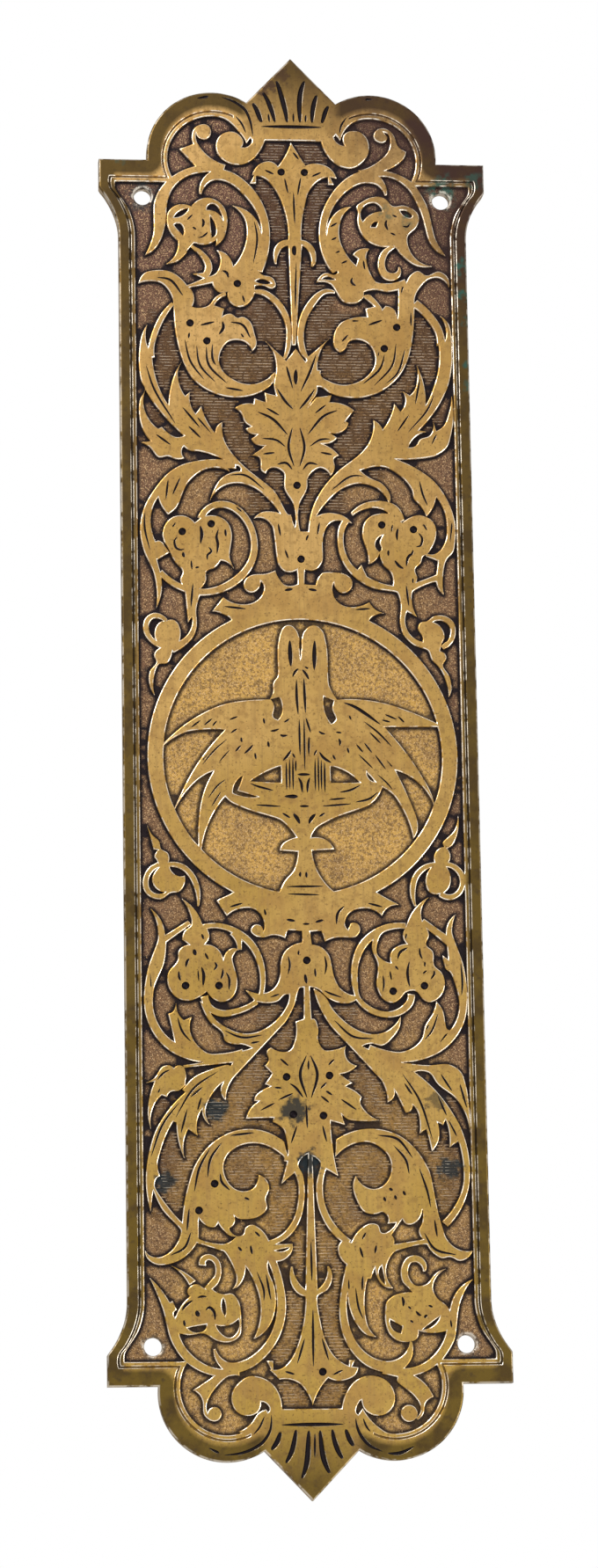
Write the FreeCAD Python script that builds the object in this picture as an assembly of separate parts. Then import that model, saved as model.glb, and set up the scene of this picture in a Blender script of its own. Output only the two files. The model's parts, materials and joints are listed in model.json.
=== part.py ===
import FreeCAD, Part
import math
import os

# Driving dimensions, in millimetres
LENGTH = 355.6
BODY_WIDTH = 86.4
EAR_REACH = 4.8
THICKNESS = 3.6
GROUND_DEPTH = 0.9
GROOVE_DEPTH = 0.5
RIM_WIDTH = 2.6
SHOULDER_RIM = 4.3
GROOVE_WIDTH = 0.45
BEAD_WIDTH = 0.95
SCREW_HOLE = 4.3
HOLE_FROM_SIDE = 10.8
HOLE_FROM_TOP = 9.3
LOBE_RADIUS = 16.3
LOBE_RIM = 5.1

# How far a drawn line and a finished loop may leave the true curve, and the smallest sunk patch in square mm
CURVE_ERROR = 0.08
EASE = 0.31
SPECK = 0.5

# The ornament is drawn on a plate 86.4 wide and 355.6 long, and follows the plate when its size changes
ACROSS = BODY_WIDTH / 86.4
ALONG = LENGTH / 355.6

TOP = -THICKNESS


# Curves: a few chosen points become smooth lines with only the corners that a curve needs
def spline(points, closed):
    count = len(points)
    spans = count if closed else count - 1
    fine = []
    for i in range(spans):
        before = points[(i - 1) % count] if closed or i > 0 else points[0]
        start = points[i]
        end = points[(i + 1) % count]
        after = points[(i + 2) % count] if closed or i + 2 < count else points[-1]
        for step in range(12):
            t = step / 12
            fine.append(tuple(blend(before[k], start[k], end[k], after[k], t) for k in range(len(start))))
    if not closed:
        fine.append(tuple(points[-1]))
    return fine


def blend(before, start, end, after, t):
    bend = 2 * before - 5 * start + 4 * end - after
    return start + 0.5 * t * (end - before + t * (bend + t * (3 * (start - end) + after - before)))


def thin(points, error):
    (x0, z0), (x1, z1) = points[0], points[-1]
    run = math.hypot(x1 - x0, z1 - z0)
    worst, place = 0.0, None
    for i in range(1, len(points) - 1):
        x, z = points[i]
        if run > 1e-9:
            gap = abs((x1 - x0) * (z - z0) - (z1 - z0) * (x - x0)) / run
        else:
            gap = math.hypot(x - x0, z - z0)
        if gap > worst:
            worst, place = gap, i
    if worst <= error:
        return [points[0], points[-1]]
    return thin(points[: place + 1], error)[:-1] + thin(points[place:], error)


def leaf(points, corners=()):
    """Closed outline: smooth through its points, sharp at the corners' places in the list."""
    if not corners:
        ring = spline(points, True)
        half = len(ring) // 2
        return thin(ring[: half + 1], CURVE_ERROR)[:-1] + thin(ring[half:] + ring[:1], CURVE_ERROR)[:-1]
    corners = sorted(corners)
    outline = []
    for i, first in enumerate(corners):
        last = corners[(i + 1) % len(corners)]
        stretch = points[first : last + 1] if last > first else points[first:] + points[: last + 1]
        outline += thin(spline(stretch, False), CURVE_ERROR)[:-1]
    return outline


def stem(points, widths):
    """Ribbon along a smooth line, with its own width at each point and a point where that is nought."""
    line = spline([(x, z, w) for (x, z), w in zip(points, widths)], False)
    left, right = [], []
    for i, (x, z, w) in enumerate(line):
        xa, za, _ = line[max(i - 1, 0)]
        xb, zb, _ = line[min(i + 1, len(line) - 1)]
        run = math.hypot(xb - xa, zb - za)
        half = max(w, 0.1) / 2
        left.append((x - (zb - za) / run * half, z + (xb - xa) / run * half))
        right.append((x + (zb - za) / run * half, z - (xb - xa) / run * half))
    return thin(left, CURVE_ERROR) + thin(right[::-1], CURVE_ERROR)


def disc(x, z, radius, squash=1.0):
    count = max(8, math.ceil(math.pi / math.acos(1 - CURVE_ERROR / radius)))
    angles = [2 * math.pi * i / count for i in range(count)]
    return [(x + radius * math.cos(a), z + squash * radius * math.sin(a)) for a in angles]


# Upper end: bar, volutes, curls and lily
def upper_end():
    bar = [(-8.5, 156.4), (8.5, 156.4), (8.5, 161.5), (-8.5, 161.5)]
    left_volute = leaf([
        (-6.6, 156.4), (-7.3, 155.2), (-8.3, 153.0), (-9.8, 151.3), (-12.2, 150.1), (-14.8, 150.0),
        (-17.2, 151.2),
        (-18.6, 153.0), (-18.9, 155.0), (-18.0, 157.2), (-16.2, 158.3), (-14.4, 158.4), (-12.8, 157.4),
        (-12.0, 155.8), (-12.6, 154.4), (-10.6, 154.9), (-9.4, 158.0), (-9.4, 161.5), (-6.6, 161.5)],
        [0, 14, 17, 18])
    right_volute = leaf([
        (7.4, 156.4), (7.8, 155.4), (8.6, 153.4), (9.8, 151.6), (11.6, 150.2), (13.8, 149.4),
        (16.0, 149.8),
        (18.0, 151.4), (19.2, 153.4), (19.4, 155.4), (18.8, 157.4), (17.4, 158.8), (15.4, 159.2),
        (13.6, 158.6),
        (12.8, 157.2), (13.4, 155.2), (11.4, 156.0), (10.2, 158.4), (10.2, 161.5), (7.4, 161.5)],
        [0, 15, 18, 19])
    left_tail = leaf([
        (-17.6, 162.6), (-15.7, 160.7), (-13.4, 158.9), (-12.2, 157.2), (-11.2, 155.6), (-10.3, 156.6),
        (-10.0, 158.6), (-8.0, 161.4), (-10.0, 164.0)], [0, 4, 7, 8])
    right_tail = leaf([
        (18.6, 163.4), (15.6, 161.6), (13.8, 159.8), (12.8, 158.2), (12.2, 156.6), (11.2, 157.6),
        (10.8, 159.4),
        (9.0, 162.0), (12.0, 164.4)], [0, 4, 7, 8])
    left_curl = stem([
        (-21.0, 159.7), (-22.8, 159.7), (-24.1, 158.6), (-24.4, 156.5), (-23.6, 154.4), (-22.0, 152.0),
        (-19.8, 150.2), (-17.0, 148.8)], [0.8, 0.8, 0.8, 1.0, 1.3, 1.6, 2.0, 2.2])
    right_curl = stem([
        (20.9, 157.4), (21.4, 159.0), (23.0, 159.6), (24.8, 158.6), (25.4, 156.4), (25.0, 154.4)],
        [0.6, 0.9, 0.9, 1.0, 1.4, 1.6])
    left_spike = leaf([
        (-28.0, 153.7), (-26.0, 154.3), (-24.2, 155.2), (-22.5, 152.2), (-19.5, 149.6), (-17.6, 148.0),
        (-21.0, 148.0), (-23.2, 148.7), (-25.3, 150.4), (-27.0, 152.3)], [0, 2, 5])
    right_spike = leaf([
        (28.7, 154.0), (27.0, 155.0), (26.0, 157.0), (24.4, 156.6), (24.4, 154.6), (22.8, 152.4),
        (20.2, 150.3),
        (16.5, 148.8), (20.5, 148.0), (24.2, 149.4), (26.6, 150.8), (28.2, 152.4)], [0, 2, 3, 7])
    lily = leaf([
        (-9.9, 147.3), (-8.6, 149.6), (-6.8, 150.8), (-5.0, 150.8), (-3.5, 149.6), (-2.0, 151.8),
        (-0.9, 154.0),
        (-0.2, 155.9), (1.0, 153.6), (2.4, 151.4), (3.4, 149.9), (5.2, 150.5), (7.2, 150.4), (9.4, 149.4),
        (10.7, 148.0), (11.1, 146.7), (9.2, 147.2), (7.0, 146.3), (5.0, 144.6), (3.9, 142.6),
        (3.1, 139.8),
        (2.6, 136.5), (2.1, 131.0), (-1.2, 131.0), (-1.4, 134.5), (-2.0, 138.0), (-3.0, 140.8),
        (-4.4, 143.8),
        (-6.2, 146.0), (-8.0, 147.0)], [0, 4, 7, 10, 15, 22, 23])
    middle_stem = stem([
        (0.4, 131.6), (0.5, 128.0), (0.4, 124.0), (0.3, 119.0), (0.2, 114.0), (0.0, 110.0),
        (-0.2, 103.5)],
        [3.2, 3.5, 3.2, 2.8, 2.0, 1.3, 0.9])
    left_hook = stem([(-0.5, 130.0), (-2.6, 129.6), (-3.9, 128.0), (-4.2, 126.0), (-4.4, 124.4)],
                     [1.4, 1.5, 1.8, 1.6, 0.5])
    right_hook = stem([(0.5, 130.2), (2.8, 129.8), (4.2, 128.6), (4.9, 127.0), (4.9, 125.0),
        (4.6, 123.9)],
                      [1.2, 1.4, 1.6, 1.5, 1.4, 0.5])
    knobs = [disc(-21.9, 158.2, 1.9), disc(22.6, 157.7, 1.5)]
    return [bar, left_volute, right_volute, left_tail, right_tail, left_curl, right_curl, left_spike,
        right_spike,
            lily, middle_stem, left_hook, right_hook] + knobs


# Upper left: ring, flower, bud, horn and acanthus
def upper_left():
    ring = stem([
        (-36.8, 126.2), (-35.0, 128.2), (-33.8, 130.6), (-33.2, 134.0), (-33.0, 138.0), (-32.2, 141.5),
        (-30.4, 144.5), (-27.6, 146.9), (-24.5, 148.2), (-20.5, 149.0), (-17.0, 148.2)],
        [0.2, 1.6, 2.2, 3.0, 3.4, 3.0, 2.4, 1.9, 1.8, 2.2, 2.4])
    outer_band = stem([
        (-22.9, 142.2), (-22.2, 144.6), (-20.4, 146.6), (-17.5, 147.2), (-14.4, 146.0), (-11.6, 143.6),
        (-9.2, 140.5), (-7.6, 137.2), (-6.8, 133.5), (-6.9, 130.0), (-7.6, 126.5), (-8.9, 122.5)],
        [0.6, 1.4, 2.2, 2.8, 2.8, 2.8, 2.6, 2.2, 2.2, 2.2, 2.2, 2.4])
    inner_band = stem([
        (-15.0, 139.1), (-12.6, 138.0), (-10.6, 135.6), (-9.7, 132.5), (-9.8, 129.4), (-10.6, 126.5),
        (-12.0, 123.5), (-13.0, 121.0)], [0.2, 1.2, 2.6, 3.6, 4.0, 4.4, 5.2, 6.0])
    flower = leaf([
        (-31.2, 135.2), (-30.8, 137.6), (-29.2, 139.0), (-27.0, 139.4), (-25.2, 138.8), (-24.2, 140.0),
        (-22.0, 141.1), (-19.6, 140.9), (-17.4, 139.3), (-16.3, 137.0), (-16.4, 134.6), (-17.0, 133.4),
        (-17.3, 132.0), (-17.6, 130.2), (-19.2, 128.8), (-19.0, 130.4), (-20.6, 129.4), (-22.5, 129.3),
        (-24.2, 129.6), (-25.2, 129.0), (-27.0, 126.8), (-29.2, 124.4), (-31.6, 123.9), (-29.7, 125.6),
        (-29.0, 127.6), (-28.6, 130.0), (-29.8, 131.4), (-31.0, 133.3)], [4, 11, 14, 15, 19, 22, 25])
    hook = stem([(-25.2, 128.6), (-23.2, 126.8), (-21.4, 124.8), (-21.1, 122.6), (-22.2, 121.1),
        (-24.9, 121.6)],
                [0.8, 1.4, 1.7, 1.8, 1.5, 0.3])
    branch = stem([(-27.0, 118.0), (-24.4, 118.8), (-21.6, 119.8), (-19.0, 120.6)], [0.4, 1.1, 1.6, 2.0])
    bud = leaf([
        (-20.2, 119.2), (-19.4, 122.0), (-18.2, 124.4), (-18.3, 126.4), (-19.0, 127.6), (-17.2, 127.2),
        (-15.9, 125.2), (-14.4, 122.6), (-9.0, 123.0), (-8.0, 121.6), (-6.2, 121.3), (-4.8, 120.2),
        (-4.5, 118.6),
        (-5.4, 118.0), (-7.4, 118.7), (-9.6, 118.6), (-9.8, 116.6), (-11.0, 114.4), (-13.0, 113.2),
        (-15.2, 113.6), (-16.4, 115.4), (-16.4, 117.0), (-18.4, 116.8)], [4, 7, 8, 13, 15, 21, 22])
    bud_stem = stem([
        (-9.8, 117.2), (-7.5, 116.9), (-5.0, 115.2), (-2.8, 112.4), (-1.6, 109.0), (-1.4, 105.5),
        (-1.9, 102.0),
        (-2.6, 100.0)], [0.8, 1.4, 1.6, 1.6, 1.4, 1.4, 1.2, 0.6])
    horn = leaf([
        (-38.4, 118.9), (-37.3, 121.2), (-35.3, 122.1), (-32.5, 122.3), (-30.2, 121.8), (-28.3, 120.6),
        (-27.2, 119.2), (-25.6, 117.6), (-24.7, 115.6), (-25.3, 113.0), (-24.0, 113.0), (-22.2, 113.2),
        (-21.2, 113.4), (-19.4, 115.6), (-17.0, 117.0), (-16.8, 116.0), (-18.4, 115.2), (-19.8, 113.4),
        (-17.3, 112.6), (-17.9, 110.5), (-16.4, 111.3), (-14.9, 111.2), (-14.0, 110.3), (-12.6, 110.6),
        (-10.8, 109.2), (-10.0, 106.8), (-9.7, 104.4), (-9.6, 102.8), (-10.5, 101.9), (-11.8, 103.9),
        (-13.6, 104.6), (-15.6, 104.6), (-17.4, 103.3), (-18.6, 100.8), (-18.6, 98.2), (-17.3, 96.0),
        (-14.8, 94.3), (-11.8, 93.4), (-8.6, 93.9), (-5.0, 96.6), (-5.4, 94.0), (-8.4, 91.5),
        (-11.5, 90.4),
        (-15.0, 90.0), (-19.0, 90.7), (-22.5, 92.3), (-25.3, 94.7), (-27.2, 98.0), (-28.6, 102.2),
        (-29.4, 107.0),
        (-29.7, 113.0), (-30.8, 116.8), (-32.8, 119.0), (-35.2, 119.5)],
        [0, 9, 11, 14, 15, 17, 18, 19, 22, 28, 39, 40])
    side_stem = stem([(-30.0, 113.8), (-32.4, 110.6), (-34.4, 106.4), (-35.4, 102.6), (-35.6, 100.0)],
                     [0.8, 1.5, 1.5, 1.5, 2.0])
    long_leaf = stem([
        (-36.4, 108.4), (-37.3, 105.4), (-37.3, 102.0), (-36.5, 98.0), (-36.1, 94.5), (-34.8, 91.0),
        (-32.8, 87.6),
        (-30.0, 84.0), (-27.0, 80.6)], [0.2, 1.0, 2.2, 4.0, 3.9, 3.2, 2.6, 2.2, 1.5])
    acanthus = leaf([
        (-28.0, 98.8), (-28.9, 96.5), (-28.9, 94.5), (-28.2, 92.2), (-27.2, 90.2), (-26.0, 91.3),
        (-25.9, 89.4),
        (-25.6, 87.2), (-24.7, 85.7), (-24.0, 87.2), (-23.3, 87.7), (-22.8, 85.8), (-21.6, 83.4),
        (-19.9, 80.8),
        (-19.6, 82.4), (-18.1, 83.7), (-18.2, 81.6), (-17.6, 78.8), (-16.0, 76.0), (-14.0, 73.6),
        (-12.0, 71.8),
        (-15.6, 73.0), (-18.8, 74.6), (-21.5, 75.5), (-24.0, 76.3), (-26.6, 76.6), (-28.0, 77.8),
        (-29.3, 79.7),
        (-27.2, 80.2), (-29.6, 83.4), (-31.4, 87.4), (-30.4, 91.0), (-30.1, 94.0), (-29.4, 96.7)],
        [0, 4, 5, 8, 10, 13, 15, 20, 22, 25, 27, 28, 30])
    low_leaf = leaf([
        (-36.9, 92.0), (-38.2, 89.5), (-38.6, 86.5), (-38.3, 84.0), (-37.6, 81.7), (-36.8, 79.8),
        (-35.7, 78.6),
        (-38.1, 78.3), (-36.6, 77.6), (-35.4, 76.5), (-33.8, 74.6), (-31.5, 74.9), (-29.6, 74.2),
        (-27.6, 74.4),
        (-28.2, 76.4), (-27.6, 77.6), (-29.0, 79.5), (-30.3, 80.4), (-31.8, 81.0), (-33.0, 82.3),
        (-33.8, 81.7),
        (-36.0, 84.0), (-37.5, 88.0)], [0, 6, 7, 10, 11, 13, 15, 16, 19])
    lower_ring = stem([
        (-15.0, 73.2), (-20.0, 73.0), (-25.0, 72.4), (-29.5, 70.6), (-33.0, 67.4), (-35.8, 63.6),
        (-37.1, 59.4),
        (-37.1, 55.6), (-36.2, 52.0), (-35.4, 48.6), (-34.4, 45.0), (-34.1, 41.0), (-34.7, 36.8)],
        [2.5, 1.9, 2.6, 2.6, 2.0, 1.9, 2.3, 3.0, 3.4, 1.8, 1.6, 1.3, 0.2])
    ring_spur = leaf([(-36.4, 53.0), (-34.0, 53.6), (-31.5, 50.6), (-34.2, 48.8),
        (-36.0, 49.6)], [0, 1, 2, 3, 4])
    ring_leaf = leaf([
        (-16.5, 71.2), (-19.5, 72.2), (-22.0, 72.0), (-24.4, 70.6), (-26.4, 68.8), (-27.8, 66.4),
        (-28.8, 64.0),
        (-30.2, 61.2), (-31.7, 60.2), (-32.4, 61.6), (-33.5, 62.8), (-34.1, 64.4), (-33.5, 66.2),
        (-32.2, 68.4),
        (-29.5, 71.4), (-24.0, 73.4), (-18.0, 73.4)], [0, 8, 10, 13, 16])
    trunk = leaf([
        (-21.4, 63.8), (-20.9, 65.6), (-19.8, 67.6), (-18.4, 69.6), (-16.6, 70.7), (-13.8, 71.3),
        (-14.6, 74.2),
        (-12.0, 72.0), (-9.6, 70.0), (-7.2, 68.0), (-5.2, 65.8), (-3.6, 63.4), (-2.2, 60.6), (-1.2, 57.6),
        (-3.4, 57.6), (-4.4, 61.2), (-6.0, 63.2), (-8.0, 65.2), (-10.6, 67.2), (-13.4, 68.2),
        (-16.0, 68.2),
        (-18.2, 67.4), (-20.0, 65.6)], [0, 5, 6, 13, 14, 15])
    return [ring, outer_band, inner_band, flower, hook, branch, bud, bud_stem, horn, side_stem,
        long_leaf, acanthus,
            low_leaf, lower_ring, ring_spur, ring_leaf, trunk]


# Upper right: the same members as on the left, each cut by hand and so a little different
def upper_right():
    ring = stem([
        (20.5, 148.4), (24.0, 148.0), (27.2, 146.9), (29.8, 144.8), (31.6, 142.0), (32.8, 139.0),
        (33.6, 136.0),
        (34.2, 133.0), (35.0, 130.6), (36.2, 128.7), (38.0, 127.2)],
        [2.0, 1.4, 1.5, 2.0, 2.2, 2.0, 1.8, 1.9, 1.7, 1.2, 0.2])
    outer_band = stem([
        (23.4, 142.6), (22.6, 145.0), (21.0, 146.6), (18.4, 147.2), (15.4, 146.4), (12.6, 144.2),
        (10.2, 141.4),
        (8.6, 138.2), (7.6, 135.0), (7.4, 131.5), (7.9, 128.0), (8.9, 125.0), (10.4, 122.6)],
        [0.6, 1.6, 2.4, 3.2, 2.8, 2.6, 2.2, 2.0, 2.0, 1.9, 1.9, 1.9, 1.6])
    scaly_band = stem([
        (14.8, 139.3), (12.4, 138.2), (10.6, 135.6), (9.9, 132.2), (10.4, 128.8), (11.8, 125.8),
        (13.6, 122.6)],
        [0.3, 1.4, 2.6, 3.2, 3.6, 4.2, 5.0])
    flower = leaf([
        (15.9, 139.4), (18.0, 141.2), (20.8, 142.2), (23.2, 141.6), (25.0, 139.8), (27.6, 140.0),
        (30.2, 139.0),
        (31.6, 137.0), (31.0, 134.6), (29.6, 133.4), (28.6, 131.8), (28.8, 129.2), (30.2, 126.6),
        (32.2, 125.0),
        (34.6, 124.3), (31.2, 124.2), (28.8, 125.6), (27.2, 127.6), (25.3, 129.4), (23.6, 129.2),
        (21.0, 129.5),
        (18.6, 130.6), (16.9, 132.8), (16.1, 135.8), (16.3, 138.0)], [0, 4, 8, 10, 14, 18])
    hook = stem([
        (25.2, 129.4), (23.0, 127.8), (22.0, 125.6), (22.1, 123.2), (23.2, 121.7), (25.0, 121.5),
        (26.3, 122.6),
        (26.3, 124.0)], [1.0, 1.6, 1.8, 1.9, 2.0, 1.9, 1.2, 0.4])
    branch = stem([(18.0, 119.6), (21.4, 118.8), (24.5, 118.8), (28.0, 120.0)], [2.4, 2.0, 2.2, 2.0])
    bud = leaf([
        (5.7, 119.8), (6.6, 121.2), (8.2, 122.3), (10.4, 121.8), (12.0, 123.4), (14.0, 124.6),
        (15.6, 124.2),
        (16.1, 126.0), (14.8, 127.0), (16.4, 128.4), (19.0, 128.6), (18.2, 127.0), (18.3, 124.8),
        (19.2, 122.4),
        (20.6, 120.2), (20.4, 118.2), (18.6, 117.8), (17.4, 117.4), (17.0, 115.4), (14.6, 114.4),
        (12.2, 114.9),
        (10.4, 117.0), (10.0, 118.6), (8.2, 119.8)], [0, 3, 6, 8, 10, 14, 15, 17, 21])
    bud_stem = stem([
        (10.2, 117.2), (8.0, 117.5), (6.0, 116.2), (4.0, 113.8), (2.3, 110.6), (1.5, 107.0), (1.6, 104.0),
        (2.4, 101.2), (3.4, 99.4)], [0.6, 1.2, 1.7, 1.9, 1.8, 1.7, 1.7, 1.5, 0.5])
    horn = leaf([
        (38.7, 118.9), (38.2, 121.8), (36.3, 123.0), (34.5, 122.7), (33.0, 121.9), (31.8, 122.9),
        (30.2, 122.9),
        (28.8, 121.4), (27.8, 119.5), (26.2, 118.8), (25.7, 115.8), (26.1, 113.0), (25.7, 110.2),
        (25.2, 112.6),
        (24.0, 113.5), (22.6, 113.9), (21.9, 112.9), (20.6, 114.7), (18.6, 116.8), (17.0, 116.4),
        (18.8, 114.8),
        (20.0, 113.7), (17.7, 113.1), (18.1, 111.0), (16.0, 111.0), (13.6, 110.4), (11.4, 109.3),
        (10.4, 107.2),
        (9.5, 105.2), (9.8, 103.2), (11.2, 101.9), (12.6, 102.8), (13.4, 104.6), (15.5, 105.2),
        (17.8, 104.5),
        (19.3, 102.8), (19.9, 100.2), (19.3, 97.7), (17.3, 95.4), (14.5, 93.9), (11.2, 93.5), (8.2, 94.5),
        (5.5, 96.6), (5.5, 93.8), (8.0, 91.7), (11.5, 90.5), (14.2, 90.2), (18.0, 90.7), (21.5, 92.2),
        (24.8, 94.8),
        (27.2, 98.2), (28.8, 103.0), (29.7, 109.0), (30.0, 115.6), (31.4, 118.7), (33.6, 120.9),
        (36.0, 121.4),
        (37.6, 120.4)], [0, 4, 12, 16, 18, 19, 21, 22, 23, 42, 43])
    side_strip = stem([(30.0, 114.8), (32.2, 112.9), (34.4, 110.2), (36.0, 107.2), (36.4, 104.0)],
                      [2.0, 2.2, 2.0, 2.0, 2.2])
    outer_strip = stem([(36.4, 111.6), (37.9, 109.2), (38.4, 106.4), (38.2, 103.0)], [0.3, 1.1, 1.2, 1.6])
    long_leaf = stem([
        (37.4, 105.0), (37.2, 101.0), (37.2, 98.0), (36.3, 94.5), (35.2, 91.5), (33.6, 88.6),
        (31.6, 85.4),
        (29.2, 82.4), (27.0, 80.0)], [3.0, 3.4, 3.2, 3.6, 3.4, 2.4, 2.2, 2.2, 2.4])
    acanthus = leaf([
        (30.2, 98.6), (31.1, 96.8), (31.6, 93.4), (31.9, 90.0), (32.6, 86.4), (29.4, 82.2), (32.2, 81.8),
        (30.2, 81.0), (28.3, 79.0), (27.6, 77.6), (25.6, 76.2), (24.8, 74.9), (20.0, 73.6), (15.6, 72.0),
        (11.4, 72.4), (13.4, 74.0), (15.2, 75.6), (17.0, 77.4), (18.3, 79.6), (19.0, 82.0), (19.1, 84.6),
        (20.4, 83.8), (21.4, 82.2), (22.6, 84.0), (23.7, 86.4), (24.4, 88.9), (25.9, 86.8), (26.9, 88.7),
        (27.2, 90.4), (26.6, 92.0), (28.3, 91.0), (29.4, 92.0), (29.9, 94.6)],
        [0, 4, 5, 6, 9, 11, 13, 14, 20, 22, 25, 26, 29, 30])
    low_leaf = leaf([
        (38.7, 91.0), (38.9, 88.0), (39.1, 85.5), (38.7, 82.8), (38.2, 80.6), (37.2, 77.8), (35.6, 76.4),
        (33.3, 75.4), (29.5, 75.4), (24.8, 75.0), (25.6, 76.8), (27.8, 77.8), (29.6, 78.2), (30.6, 79.8),
        (33.0, 80.8), (33.6, 82.6), (34.0, 84.2), (34.7, 82.0), (36.5, 83.3),
        (37.8, 86.2)], [0, 5, 9, 11, 16, 17])
    lower_ring = stem([
        (16.0, 73.4), (20.5, 74.2), (25.0, 73.2), (29.5, 71.0), (33.4, 68.2), (36.0, 64.4), (37.5, 60.5),
        (37.8, 56.5), (37.4, 53.5), (36.4, 51.2), (34.0, 50.0), (31.5, 50.5)],
        [3.0, 2.6, 2.6, 2.4, 2.0, 1.9, 1.9, 2.2, 2.4, 2.8, 1.8, 0.6])
    ring_foot = stem([(36.4, 52.0), (35.4, 48.5), (34.7, 45.4), (34.7, 43.0), (35.5, 40.6)],
                     [2.2, 1.8, 1.7, 1.4, 0.3])
    ring_leaf = leaf([
        (15.6, 71.8), (18.5, 72.7), (21.4, 72.8), (24.4, 71.4), (26.8, 69.3), (28.4, 66.8), (28.8, 64.8),
        (30.4, 63.0), (31.8, 60.2), (32.8, 61.8), (34.2, 64.2), (34.2, 66.2), (33.3, 68.4), (30.0, 71.6),
        (25.0, 74.0), (19.0, 74.8)], [0, 6, 8, 12, 15])
    trunk = leaf([
        (22.7, 63.4), (23.0, 65.4), (22.0, 67.4), (20.4, 68.9), (18.6, 69.6), (17.4, 70.8), (15.6, 71.8),
        (15.4, 75.6), (13.4, 74.0), (11.2, 72.4), (9.2, 70.6), (7.4, 68.6), (5.8, 66.3), (4.4, 63.6),
        (3.2, 60.6),
        (2.4, 56.6), (4.4, 57.0), (4.0, 59.4), (5.4, 61.2), (7.2, 63.6), (9.4, 65.8), (12.0, 67.6),
        (15.0, 68.5),
        (18.0, 68.1), (20.4, 66.8)], [0, 4, 6, 7, 15, 16, 17])
    return [ring, outer_band, scaly_band, flower, hook, branch, bud, bud_stem, horn, side_strip,
        outer_strip,
            long_leaf, acanthus, low_leaf, lower_ring, ring_foot, ring_leaf, trunk]


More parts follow.
